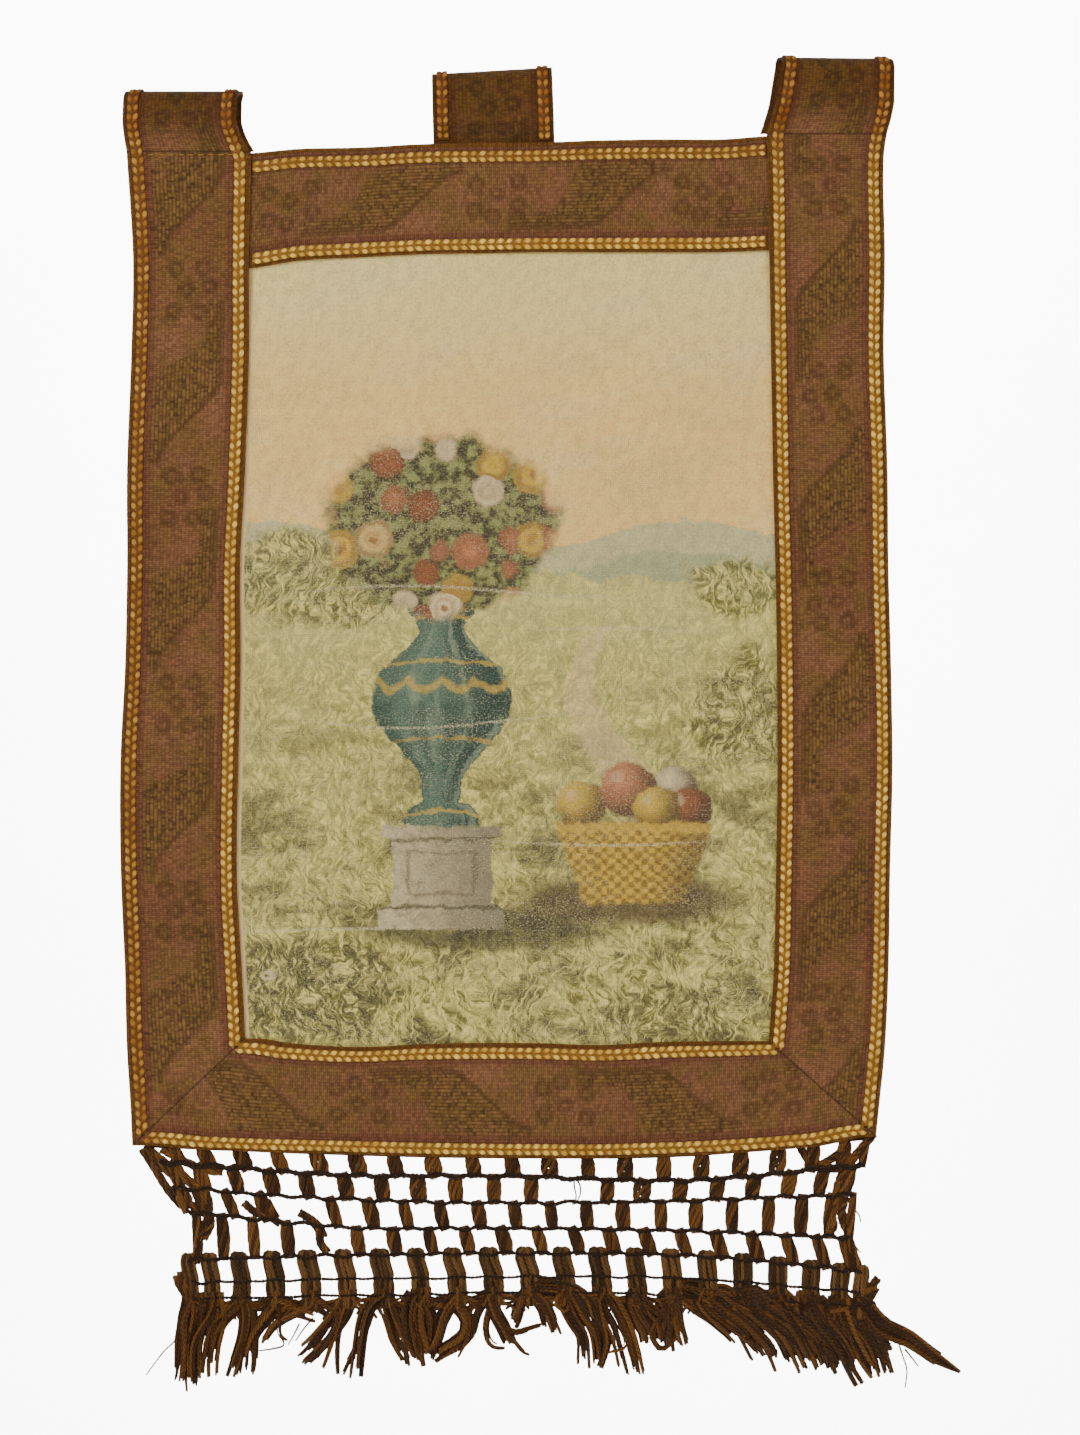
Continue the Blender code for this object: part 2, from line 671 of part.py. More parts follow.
def add_bar(skin, line, spans_above, spans_below, depth):
    """One crosswise band of the net, left open where bundles join it above and below."""
    above = {span: i for i, span in spans_above.items()}
    below = {span: i for i, span in spans_below.items()}
    stops = sorted(edge for span in list(above) + list(below) for edge in span)
    posts = []
    for x in stops:
        z = line_z(line, x)
        y = net_middle(x, z)
        posts.append([
            skin.corner(x, y - depth / 2, z + line.height / 2),
            skin.corner(x, y + depth / 2, z + line.height / 2),
            skin.corner(x, y + depth / 2, z - line.height / 2),
            skin.corner(x, y - depth / 2, z - line.height / 2),
        ])
    rings_above = {}
    rings_below = {}
    for i in range(len(stops) - 1):
        here = posts[i]
        there = posts[i + 1]
        span = (stops[i], stops[i + 1])
        skin.face(here[0], there[0], there[3], here[3])
        skin.face(here[1], here[2], there[2], there[1])
        if span in above:
            rings_above[above[span]] = [here[0], there[0], there[1], here[1]]
        else:
            skin.face(here[0], here[1], there[1], there[0])
        if span in below:
            rings_below[below[span]] = [here[3], there[3], there[2], here[2]]
        else:
            skin.face(here[3], there[3], there[2], here[2])
    skin.face(*posts[0])
    skin.face(*posts[-1])
    return rings_above, rings_below


def bundle_ring(skin, x, z, width, depth):
    y = net_middle(x, z)
    return [
        skin.corner(x - width / 2, y - depth / 2, z),
        skin.corner(x + width / 2, y - depth / 2, z),
        skin.corner(x + width / 2, y + depth / 2, z),
        skin.corner(x - width / 2, y + depth / 2, z),
    ]


def add_net(skin):
    """The heading and four rows of bundles; returns the open rings under the last line."""
    lines = [HEADING] + NET_BARS
    hanging = {}
    for row, line in enumerate(lines):
        spans_above = bundle_spans(line, row) if row else {}
        spans_below = bundle_spans(line, row + 1)
        depth = BUNDLE_DEPTH if row else HEADING_THICK
        above, below = add_bar(skin, line, spans_above, spans_below, depth)
        for i, ring in above.items():
            skin.bridge(hanging[i], ring)
        hanging = below
    return hanging


def add_long_bundles(skin, hanging):
    """Long bundles down past both threads; returns each one's last ring and its middle."""
    feet = []
    rings_by_thread = [[], []]
    for i, place in enumerate(row_places(5)):
        ring = hanging[i]
        for number, thread in enumerate(NET_THREADS):
            x = line_x(thread, place)
            z = line_z(thread, x)
            top = z + thread.height / 2
            bottom = z - thread.height / 2
            upper = bundle_ring(skin, x, top, LONG_BUNDLE_WIDTH, LONG_BUNDLE_DEPTH)
            lower = bundle_ring(skin, x, bottom, LONG_BUNDLE_WIDTH, LONG_BUNDLE_DEPTH)
            skin.bridge(ring, upper)
            skin.face(upper[0], upper[1], lower[1], lower[0])
            skin.face(upper[2], upper[3], lower[3], lower[2])
            rings_by_thread[number].append((upper, lower))
            ring = lower
        feet.append((ring, x, z - thread.height / 2 - LONG_BUNDLE_TAIL))
    return feet, rings_by_thread


def add_thread(skin, line, joints):
    """A thin thread that ties neighbouring long bundles side to side."""
    first_upper, first_lower = joints[0]
    last_upper, last_lower = joints[-1]
    skin.face(first_upper[0], first_upper[3], first_lower[3], first_lower[0])
    skin.face(last_upper[1], last_upper[2], last_lower[2], last_lower[1])
    for (upper, lower), (next_upper, next_lower) in zip(joints, joints[1:]):
        start = [upper[1], upper[2], lower[2], lower[1]]
        end = [next_upper[0], next_upper[3], next_lower[3], next_lower[0]]
        x = (skin.corners[start[0]][0] + skin.corners[end[0]][0]) / 2 / MM
        z = line_z(line, x) - THREAD_SAG
        y = net_middle(x, z)
        half = THREAD_WIDTH / 2
        waist = [
            skin.corner(x, y - half, z + half),
            skin.corner(x, y + half, z + half),
            skin.corner(x, y + half, z - half),
            skin.corner(x, y - half, z - half),
        ]
        skin.bridge(start, waist)
        skin.bridge(waist, end)


def add_locks(skin, ring, x, z, tassel, number, noise):
    """The loose locks under one long bundle, fused only where they leave it."""
    y = net_middle(x, z)
    grid = []
    for r in range(LOCK_ROWS + 1):
        row_y = y + LONG_BUNDLE_DEPTH * (r / LOCK_ROWS - 0.5)
        grid.append([
            (x + LONG_BUNDLE_WIDTH * (c / LOCK_COLUMNS - 0.5), row_y)
            for c in range(LOCK_COLUMNS + 1)
        ])
    corners = [[skin.corner(px, py, z) for px, py in row] for row in grid]
    skin.face(ring[0], ring[1], *corners[0][::-1])
    skin.face(ring[1], ring[2], *[row[-1] for row in corners[::-1]])
    skin.face(ring[2], ring[3], *corners[-1])
    skin.face(ring[3], ring[0], *[row[0] for row in corners])
    parting = LOCK_PARTING * (1 if number % 2 else -1)
    phase = noise.uniform(0, math.tau)
    for r in range(LOCK_ROWS):
        for c in range(LOCK_COLUMNS):
            cell = [corners[r][c], corners[r][c + 1], corners[r + 1][c + 1], corners[r + 1][c]]
            share = c / (LOCK_COLUMNS - 1)
            root_x = (grid[r][c][0] + grid[r][c + 1][0]) / 2
            root_y = (grid[r][c][1] + grid[r + 1][c][1]) / 2
            half_x = LONG_BUNDLE_WIDTH / LOCK_COLUMNS / 2 - LOCK_INSET
            half_y = LONG_BUNDLE_DEPTH / LOCK_ROWS / 2 - LOCK_INSET
            tip_x = lerp(tassel.tip_left, tassel.tip_right, share)
            tip_z = -lerp(tassel.drop_left, tassel.drop_right, share)
            tip_z += noise.uniform(0, LOCK_SHORTFALL)
            tip_y = root_y + parting + (r - 0.5) * 2.0 * LOCK_FANNING
            last = cell
            for k in range(LOCK_STEPS + 1):
                t = k / LOCK_STEPS
                swing = t ** LOCK_SWING
                wander = LOCK_WANDER * math.sin(phase + LOCK_WAVES * t) * min(1.0, 2.0 * t)
                wx = lerp(root_x, tip_x, swing) + wander
                wy = lerp(root_y, tip_y, smooth_step(t / LOCK_PARTED_BY))
                wz = lerp(z - LOCK_ROOT_GAP, tip_z, t)
                thin_x = lerp(half_x, LOCK_TIP, t ** LOCK_TAPER)
                thin_y = lerp(half_y, LOCK_TIP, t ** LOCK_TAPER)
                section = [
                    skin.corner(wx - thin_x, wy - thin_y, wz),
                    skin.corner(wx + thin_x, wy - thin_y, wz),
                    skin.corner(wx + thin_x, wy + thin_y, wz),
                    skin.corner(wx - thin_x, wy + thin_y, wz),
                ]
                skin.bridge(last, section)
                last = section
            skin.face(*last)


def make_fringe():
    skin = Skin()
    noise = random.Random(SEED)
    hanging = add_net(skin)
    feet, joints = add_long_bundles(skin, hanging)
    for line, rings in zip(NET_THREADS, joints):
        add_thread(skin, line, rings)
    for number, (ring, x, z) in enumerate(feet):
        add_locks(skin, ring, x, z, TASSELS[number], number, noise)
    skin.build("fringe", FRINGE_LOOK)


def main():
    clear_scene()
    make_picture_panel()
    make_side_strip("left")
    make_side_strip("right")
    make_bottom_strip()
    make_top_strip()
    for tab in TABS:
        make_tab(tab)
    make_side_braids()
    make_level_braids()
    make_centre_braids()
    make_fringe()


main()
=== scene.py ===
import math
import random
from collections import namedtuple

import bpy
from mathutils import Matrix, Vector, noise


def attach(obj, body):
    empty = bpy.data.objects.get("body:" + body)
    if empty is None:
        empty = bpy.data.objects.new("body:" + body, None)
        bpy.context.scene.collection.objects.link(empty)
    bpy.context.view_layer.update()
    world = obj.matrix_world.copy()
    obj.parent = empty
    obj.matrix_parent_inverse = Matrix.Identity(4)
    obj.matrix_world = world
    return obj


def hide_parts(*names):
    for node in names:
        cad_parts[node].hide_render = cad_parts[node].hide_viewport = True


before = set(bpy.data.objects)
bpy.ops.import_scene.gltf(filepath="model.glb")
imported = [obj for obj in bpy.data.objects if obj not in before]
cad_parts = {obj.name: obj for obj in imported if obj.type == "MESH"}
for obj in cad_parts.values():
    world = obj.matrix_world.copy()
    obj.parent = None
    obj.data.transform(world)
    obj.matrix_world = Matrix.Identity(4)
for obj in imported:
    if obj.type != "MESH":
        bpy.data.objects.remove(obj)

bl_info = {
    "name": "Bordered tapestry with net fringe",
    "version": (1, 0, 0),
    "blender": (4, 5, 0),
    "location": "View3D > Sidebar > Tapestry",
    "description": "Makes the cloth, gold braid and yarn of a tapestry wall hanging",
    "category": "Add Mesh",
}

MM = 0.001

# Where the cloth hangs. All tables are in millimetres; a drop is a distance below the rod.

FRONT_LAYER = -0.65
SECOND_LAYER = 1.05
THIRD_LAYER = 2.75
LEVEL_STRIP_WIDTH = 58.5
MITRE_SLOPE = 0.72
PICTURE_MARGIN = 9.0
TOP_STRIP_TUCK = 8.0
SEAM_DROP = {"left": 25.2, "right": 16.0}

SideEdges = namedtuple("SideEdges", "drop left_outer left_inner right_inner right_outer")
SIDE_EDGES = [
    SideEdges(10, -198.6, -133.0, 134.6, 198.6),
    SideEdges(30, -197.5, -133.1, 135.7, 195.9),
    SideEdges(80, -194.5, -134.2, 136.5, 196.6),
    SideEdges(130, -195.4, -134.2, 137.3, 196.0),
    SideEdges(190, -197.6, -136.2, 138.3, 197.9),
    SideEdges(240, -197.6, -138.8, 139.6, 198.4),
    SideEdges(290, -198.6, -138.6, 140.4, 199.7),
    SideEdges(345, -201.2, -139.9, 140.7, 200.5),
    SideEdges(400, -201.0, -140.7, 139.9, 199.2),
    SideEdges(450, -198.9, -138.1, 138.8, 198.4),
    SideEdges(490, -197.9, -136.2, 136.0, 196.6),
    SideEdges(520, -196.0, -135.5, 135.0, 193.7),
    SideEdges(550, -194.6, -135.0, 134.0, 190.6),
]
LevelEdges = namedtuple("LevelEdges", "x top picture_top picture_bottom hem")
LEVEL_EDGES = [
    LevelEdges(-195, 26.2, 86.0, 485.5, 542.0),
    LevelEdges(-160, 26.1, 86.0, 485.8, 544.4),
    LevelEdges(-134, 25.9, 85.8, 486.3, 545.4),
    LevelEdges(-108, 23.6, 81.8, 489.3, 546.0),
    LevelEdges(-76, 22.9, 80.1, 490.8, 546.8),
    LevelEdges(-45, 21.2, 78.5, 489.3, 547.6),
    LevelEdges(-14, 20.6, 78.0, 488.6, 548.2),
    LevelEdges(17, 20.3, 77.5, 488.8, 548.5),
    LevelEdges(48, 19.2, 77.5, 489.8, 548.6),
    LevelEdges(80, 18.7, 77.5, 488.3, 547.8),
    LevelEdges(111, 18.7, 77.4, 487.8, 546.6),
    LevelEdges(137, 16.9, 76.4, 487.8, 544.8),
    LevelEdges(165, 16.7, 76.0, 487.5, 542.3),
    LevelEdges(184, 16.7, 76.0, 487.3, 540.0),
    LevelEdges(193, 16.7, 76.0, 487.2, 537.2),
]
OUTER_CORNER_DROP = {"left": 542.2, "right": 537.4}
INNER_CORNER_DROP = {"left": 486.5, "right": 487.8}

Tab = namedtuple(
    "Tab",
    "name top_left top_right waist_left waist_right seam_left seam_right"
    " rise_left rise_right seam_drop fused front back_shift",
)
TABS = [
    Tab("left", -198.6, -138.8, -199.7, -140.6, -197.8, -133.6,
        6.2, 6.2, 25.2, 5.0, FRONT_LAYER, 2.4),
    Tab("centre", -39.0, 23.4, -38.6, 24.4, -38.0, 25.0,
        15.1, 18.7, 30.0, 10.5, THIRD_LAYER, 0.0),
    Tab("right", 143.0, 200.7, 140.6, 201.6, 134.8, 197.6,
        23.9, 23.2, 16.0, 5.0, FRONT_LAYER, -3.2),
]
CLOTH_WALL = 1.3
LOOP_WALL = 1.4
LOOP_HALF_DEPTH = 4.0
LOOP_PINCH = 0.3
LOOP_OPENING = 11.0
LOOP_LEVELS = [0.8 + 10.2 * i / 8 for i in range(9)]
LOOP_ARC_STEPS = 12

BRAID_INSET = 5.2
TOP_UPPER_INSET = 7.2
TOP_LOWER_INSET = 4.6
HEM_INSET = 4.4
BRAID_LIFT = 0.4
BRAID_END_GAP = 1.2
STITCH_STEPS = 6

WAVE_DEPTH = 1.7
WAVE_LENGTH = 270.0
SWAY_DEPTH = 1.0
SWAY_LENGTH = 460.0
WAVE_FULL_DROP = 260.0

NetLine = namedtuple(
    "NetLine",
    "x_left x_middle x_right drop_left drop_left_half drop_middle drop_right_half drop_right",
)
HEADING = NetLine(-187.7, 1.5, 187.5, 540.0, 543.6, 545.4, 544.6, 535.8)
NET_BARS = [
    NetLine(-180.4, 3.2, 184.6, 550.7, 557.3, 557.9, 560.3, 552.4),
    NetLine(-174.2, 3.0, 180.4, 564.2, 569.9, 571.8, 570.9, 567.3),
    NetLine(-166.9, 5.3, 178.4, 576.7, 584.6, 584.9, 586.6, 590.2),
    NetLine(-165.9, 9.5, 184.6, 601.6, 599.1, 598.0, 599.6, 607.5),
]
NET_THREADS = [
    NetLine(-164.3, 12.0, 183.6, 613.6, 611.4, 610.2, 611.4, 618.4),
    NetLine(-164.3, 12.6, 184.4, 621.9, 619.8, 618.2, 620.2, 625.6),
]
BUNDLES = 21
END_CROWDING = 0.08
END_CROWDING_POWER = 8
BUNDLE_WIDTHS = {1: 6.8, 2: 6.8, 3: 6.0, 4: 6.0}
END_NARROWING = 0.4
BUNDLE_DEPTH = 3.4
LONG_BUNDLE_WIDTH = 8.2
LONG_BUNDLE_DEPTH = 4.4
NET_MIDDLE = 2.05
TORN_BUNDLES = {(2, 11), (3, 4), (4, 4)}

# Loose locks below the net: the long bundle each leaves, its width, how far back it hangs
# and its course as (x, drop) places
Lock = namedtuple("Lock", "bundle width back course")
LOCKS = [
    Lock(0, 9, 0.0, ((-165, 633), (-167, 646), (-167, 664))),
    Lock(0, 5, -1.5, ((-168, 632), (-168, 648), (-171, 669))),
    Lock(1, 9, 0.8, ((-153, 633), (-157, 648), (-158, 665))),
    Lock(1, 6, -1.2, ((-155, 629), (-161, 638), (-165, 649), (-164, 670))),
    Lock(2, 7, 0.6, ((-134, 630), (-133, 646), (-134, 662))),
    Lock(2, 6, -1.0, ((-136, 629), (-137, 641), (-141, 654), (-144, 663))),
    Lock(2, 6, -0.4, ((-139, 625), (-148, 633), (-153, 643), (-155, 657))),
    Lock(3, 6, -0.5, ((-121, 626), (-127, 634), (-133, 642), (-136, 654))),
    Lock(3, 5, 1.0, ((-115, 625), (-109, 628), (-99, 631))),
    Lock(3, 2, -1.0, ((-119, 629), (-118, 641), (-110, 646))),
    Lock(4, 6, 0.8, ((-103, 625), (-113, 629), (-123, 635), (-129, 644))),
    Lock(4, 6, -0.6, ((-98, 625), (-90, 631), (-94, 641), (-102, 652))),
    Lock(5, 8, 0.3, ((-84, 626), (-88, 633), (-97, 644), (-108, 655))),
    Lock(5, 2, -1.5, ((-87, 631), (-90, 641), (-96, 659))),
    Lock(5, 2, 1.4, ((-85, 629), (-88, 643), (-88, 663))),
    Lock(6, 6, -0.4, ((-68, 622), (-73, 629), (-76, 642), (-78, 664))),
    Lock(6, 3, 1.0, ((-69, 625), (-74, 639), (-82, 654), (-87, 664))),
    Lock(6, 7, 0.9, ((-63, 621), (-59, 630), (-55, 643), (-48, 655))),
    Lock(7, 9, -0.5, ((-48, 622), (-49, 634), (-47, 646), (-45, 657))),
    Lock(7, 6, 0.8, ((-45, 622), (-40, 633), (-40, 644), (-43, 655))),
    Lock(8, 6, -0.8, ((-30, 625), (-34, 632), (-37, 642), (-42, 652))),
    Lock(8, 6, 0.6, ((-26, 625), (-21, 633), (-23, 642), (-31, 647), (-41, 654))),
    Lock(8, 2, -1.6, ((-24, 628), (-21, 641), (-28, 654))),
    Lock(9, 6, 0.9, ((-12, 621), (-17, 629), (-21, 640), (-30, 647))),
    Lock(9, 6, -0.5, ((-9, 621), (-6, 629), (-2, 636), (2, 646))),
    Lock(9, 3, 0.6, ((-9, 627), (-11, 638), (-7, 646), (3, 647))),
    Lock(9, 2, -1.4, ((-1, 636), (5, 645), (11, 651), (18, 650))),
    Lock(9, 3, -1.7, ((-3, 634), (4, 639), (12, 637), (19, 635))),
    Lock(10, 5, 0.3, ((9, 619), (6, 627), (3, 636))),
    Lock(10, 6, -0.9, ((14, 620), (20, 628), (24, 639))),
    Lock(10, 8, 0.9, ((15, 616), (28, 617), (38, 622), (44, 634), (47, 645))),
    Lock(10, 2, -1.6, ((22, 629), (26, 637), (29, 645))),
    Lock(11, 8, -0.6, ((31, 620), (36, 631), (42, 641), (43, 658))),
    Lock(11, 4, -1.8, ((29, 628), (28, 621), (34, 618), (40, 625), (42, 634))),
    Lock(12, 6, 0.6, ((47, 621), (49, 634), (51, 645), (47, 657))),
    Lock(12, 9, -0.6, ((51, 621), (58, 634), (62, 646), (66, 662))),
    Lock(12, 2, -1.8, ((62, 644), (54, 648), (46, 651))),
    Lock(13, 8, 0.5, ((66, 621), (70, 631), (74, 638), (75, 645))),
    Lock(13, 5, -1.2, ((69, 621), (75, 628), (82, 634), (86, 641))),
    Lock(14, 7, 0.3, ((84, 621), (82, 630), (79, 638), (77, 644))),
    Lock(14, 6, -0.8, ((87, 621), (88, 632), (90, 641), (92, 648))),
    Lock(14, 2, -1.7, ((76, 638), (77, 645), (81, 648), (89, 641))),
    Lock(14, 7, 1.2, ((90, 618), (100, 625), (112, 633), (120, 641))),
    Lock(14, 7, 2.0, ((92, 617), (107, 622), (122, 634), (133, 652))),
    Lock(15, 8, -0.5, ((103, 619), (113, 627), (126, 637), (139, 651))),
    Lock(15, 7, 1.0, ((108, 618), (123, 625), (140, 634), (153, 646))),
    Lock(15, 6, -1.6, ((101, 620), (108, 629), (116, 635), (125, 643))),
    Lock(16, 8, 0.4, ((121, 619), (128, 631), (139, 643), (146, 657))),
    Lock(16, 7, -1.2, ((124, 618), (137, 628), (151, 638), (163, 649))),
    Lock(17, 8, -0.4, ((137, 620), (144, 633), (152, 646), (159, 660))),
    Lock(17, 7, 1.2, ((141, 619), (152, 631), (166, 643), (176, 655))),
    Lock(18, 8, 0.5, ((155, 621), (158, 634), (163, 648), (169, 662))),
    Lock(18, 7, -1.0, ((158, 621), (167, 634), (177, 646), (184, 661))),
    Lock(19, 8, -0.5, ((170, 623), (174, 637), (180, 651), (188, 664))),
    Lock(19, 7, 0.9, ((172, 622), (181, 635), (190, 646), (195, 662))),
    Lock(20, 9, 0.6, ((185, 623), (189, 636), (195, 645), (202, 650))),
    Lock(20, 9.5, -0.6, ((187, 626), (196, 636), (209, 642), (221, 651), (236, 660))),
]
POINTED_LOCK = LOCKS[-1]
LOCK_PLUMPNESS = 1.85
MATTED_FROM = 14
MATTED_PLUMPNESS = 2.1
# Single stray yarns, and the tangled yarns at the net's two ends
WISPS = [
    ((-168, 635), (-172, 643), (-179, 650), (-188, 662)),
    ((-118, 641), (-116, 646), (-122, 648), (-129, 649)),
    ((204, 646), (206, 652), (208, 659), (207, 668)),
    ((207, 648), (211, 653), (214, 657)),
    ((176, 590), (179, 592), (184, 598)),
    ((178, 603), (181, 596), (180, 591), (177, 587)),
    ((-108, 635), (-111, 641), (-114, 646)),
    ((-101, 632), (-106, 638), (-110, 644)),
    ((35, 558), (35, 563), (36, 569), (34, 573)),
    ((36, 559), (38, 563), (38, 568), (35, 573)),
    ((181, 568), (179, 573), (183, 578), (184, 582)),
]
END_YARNS = [
    ((-190, 544), (-183, 555), (-176, 566), (-169, 574)),
    ((-188, 543), (-177, 552), (-166, 561), (-158, 566)),
    ((-180, 544), (-169, 550), (-157, 555), (-148, 556)),
    ((-186, 549), (-174, 558), (-167, 568), (-165, 574)),
    ((-174, 545), (-170, 556), (-162, 564), (-157, 573)),
    ((-157, 566), (-155, 574), (-157, 583), (-161, 593), (-162, 604)),
    ((-165, 573), (-158, 577), (-154, 582), (-158, 591)),
    ((191, 536), (185, 543), (178, 551), (173, 560), (171, 569)),
    ((188, 539), (181, 548), (176, 555), (174, 562)),
    ((176, 544), (169, 549), (162, 553), (157, 554)),
    ((152, 542), (157, 550), (164, 554), (173, 554)),
    ((179, 550), (176, 560), (173, 570), (176, 583), (179, 594), (183, 606)),
    ((172, 568), (169, 577), (170, 584), (168, 587)),
    ((176, 569), (174, 578), (176, 585)),
    ((-137, 572), (-131, 577), (-124, 579), (-118, 583)),
    ((-125, 571), (-123, 575), (-120, 580)),
    ((-108, 577), (-103, 580), (-98, 584), (-95, 590)),
    ((-103, 580), (-98, 586), (-97, 593), (-93, 598)),
    ((-162, 624), (-166, 617), (-169, 612), (-170, 608)),
    ((-164, 626), (-168, 619), (-171, 614), (-172, 610)),
    ((183, 626), (187, 620), (190, 615), (193, 611)),
    ((186, 626), (189, 621), (192, 616)),
]


def lerp(a, b, t):
    return a + (b - a) * t


def smooth_step(t):
    t = min(max(t, 0.0), 1.0)
    return t * t * (3.0 - 2.0 * t)


def table_curve(rows, key, value):
    """A smooth curve through one column of a table, read by another column."""
    keys = [getattr(row, key) for row in rows]
    values = [getattr(row, value) for row in rows]
    slopes = []
    for i in range(len(keys)):
        before = max(i - 1, 0)
        after = min(i + 1, len(keys) - 1)
        slopes.append((values[after] - values[before]) / (keys[after] - keys[before]))

    def read(at):
        if at <= keys[0]:
            return values[0]
        if at >= keys[-1]:
            return values[-1]
        i = max(n for n in range(len(keys) - 1) if keys[n] <= at)
        span = keys[i + 1] - keys[i]
        t = (at - keys[i]) / span
        swing_out = t * (1.0 - t) ** 2 * slopes[i] * span
        swing_in = t * t * (1.0 - t) * slopes[i + 1] * span
        return lerp(values[i], values[i + 1], smooth_step(t)) + swing_out - swing_in

    return read


OUTER_EDGE = {
    "left": table_curve(SIDE_EDGES, "drop", "left_outer"),
    "right": table_curve(SIDE_EDGES, "drop", "right_outer"),
}
INNER_EDGE = {
    "left": table_curve(SIDE_EDGES, "drop", "left_inner"),
    "right": table_curve(SIDE_EDGES, "drop", "right_inner"),
}
TOP_EDGE = table_curve(LEVEL_EDGES, "x", "top")
PICTURE_TOP = table_curve(LEVEL_EDGES, "x", "picture_top")
PICTURE_BOTTOM = table_curve(LEVEL_EDGES, "x", "picture_bottom")
HEM = table_curve(LEVEL_EDGES, "x", "hem")


def drape(x, z):
    """How far back the cloth's middle plane lies at a place, from its slow waves."""
    hang = smooth_step(-z / WAVE_FULL_DROP)
    wave = math.sin(2.0 * math.pi * (x + 0.12 * z) / WAVE_LENGTH + 0.6)
    sway = math.sin(2.0 * math.pi * (z - 0.5 * x) / SWAY_LENGTH)
    return hang * (WAVE_DEPTH * wave + SWAY_DEPTH * sway)


def lie(x, z):
    """The drape with the small unevenness that every layer shares."""
    ripple = noise.noise(Vector((x / 26.0, z / 31.0, 0.0)))
    hang = smooth_step((-z - 30.0) / 40.0)
    return drape(x, z) + hang * 0.45 * ripple


def side_spot(side, across, along):
    """A place on a side strip: across runs outer to inner edge, along runs seam to mitre."""
    top = SEAM_DROP[side]
    outer_drop = lerp(top, OUTER_CORNER_DROP[side], along)
    inner_drop = lerp(top, INNER_CORNER_DROP[side], along)
    x = lerp(OUTER_EDGE[side](outer_drop), INNER_EDGE[side](inner_drop), across)
    return x, -lerp(outer_drop, inner_drop, across)


def hem_spot(across, along):
    """A place on the bottom strip: across runs picture side to hem, along runs left to right."""
    inner_ends = [INNER_EDGE[side](INNER_CORNER_DROP[side]) for side in ("left", "right")]
    outer_ends = [OUTER_EDGE[side](OUTER_CORNER_DROP[side]) for side in ("left", "right")]
    inner_x = lerp(inner_ends[0], inner_ends[1], along)
    outer_x = lerp(outer_ends[0], outer_ends[1], along)
    x = lerp(inner_x, outer_x, across)
    side = "left" if along < 0.5 else "right"
    near_mitre = 1.0 - smooth_step(min(along, 1.0 - along) / 0.08)
    inner = lerp(PICTURE_BOTTOM(inner_x), INNER_CORNER_DROP[side], near_mitre)
    outer = lerp(HEM(outer_x), OUTER_CORNER_DROP[side], near_mitre)
    return x, -lerp(inner, outer, across)


def top_spot(across, along):
    """A place on the top strip: across runs top edge to picture side, along runs left to right."""
    middle_drop = (TOP_EDGE(0) + PICTURE_TOP(0)) / 2
    left = INNER_EDGE["left"](middle_drop) - TOP_STRIP_TUCK
    right = INNER_EDGE["right"](middle_drop) + TOP_STRIP_TUCK
    x = lerp(left, right, along)
    return x, -lerp(TOP_EDGE(x), PICTURE_TOP(x), across)


def picture_spot(across, drop_from_top, reach_down):
    """A place on the picture cloth, which runs on under the strips by its margin."""
    rough_x = lerp(INNER_EDGE["left"](280), INNER_EDGE["right"](280), across)
    top = PICTURE_TOP(rough_x)
    bottom = PICTURE_BOTTOM(rough_x) + PICTURE_MARGIN
    drop = top + drop_from_top + (bottom - top - drop_from_top) * reach_down
    left = INNER_EDGE["left"](drop) - PICTURE_MARGIN
    right = INNER_EDGE["right"](drop) + PICTURE_MARGIN
    x = lerp(left, right, across)
    lift = 1.0 - smooth_step((drop - top - 4.0) / 34.0)
    return x, lie(x, -drop) + lerp(SECOND_LAYER, THIRD_LAYER, lift), -drop


def on_layer(spot_xz, layer):
    x, z = spot_xz
    return x, lie(x, z) + layer, z


def tab_edge(top, waist, seam, height):
    """A loop's side edge: a curve through its places at the top, the waist and the seam."""
    below = 2.0 * (0.5 - height) * (1.0 - height)
    middle = 4.0 * height * (1.0 - height)
    above = 2.0 * height * (height - 0.5)
    return seam * below + waist * middle + top * above


def tab_x(tab, across, height, rearward):
    """Across a loop at a height from 0 at its seam to 1 at its top, on its front or its back."""
    height = min(max(height, 0.0), 1.0)
    left = tab_edge(tab.top_left, tab.waist_left, tab.seam_left, height)
    right = tab_edge(tab.top_right, tab.waist_right, tab.seam_right, height)
    return lerp(left, right, across) + tab.back_shift * smooth_step(rearward)


def loop_outline(tab, across, growth):
    """A loop's outer face from its front foot over the top to its back foot, as places."""
    extra = growth - LOOP_WALL
    foot = -tab.seam_drop
    pinch = foot + tab.fused
    top = lerp(tab.rise_left, tab.rise_right, across)
    shoulder = top - LOOP_WALL - LOOP_HALF_DEPTH
    seam_middle = tab.front + CLOTH_WALL
    radius = LOOP_HALF_DEPTH + growth

    def side_places(sign):
        flat = seam_middle + sign * (CLOTH_WALL + extra)
        places = [(flat, foot), (flat, pinch)]
        for level in LOOP_LEVELS:
            opened = smooth_step(level / LOOP_OPENING)
            middle = lerp(seam_middle, 0.0, opened)
            half = lerp(LOOP_PINCH, LOOP_HALF_DEPTH, opened)
            places.append((middle + sign * (half + growth), pinch + level))
        places.append((sign * radius, shoulder))
        return places

    arc = []
    for i in range(1, LOOP_ARC_STEPS):
        turn = math.pi * i / LOOP_ARC_STEPS
        arc.append((-radius * math.cos(turn), shoulder + radius * math.sin(turn)))
    outline = side_places(-1.0) + arc + side_places(1.0)[::-1]
    places = []
    for y, z in outline:
        height = (z - foot) / (top - foot)
        over = (y - seam_middle * 0.3) / (2.0 * radius) + 0.5
        rearward = over if z > shoulder else float(y > seam_middle * 0.5)
        places.append(Vector((tab_x(tab, across, height, rearward), y, z)))
    return places


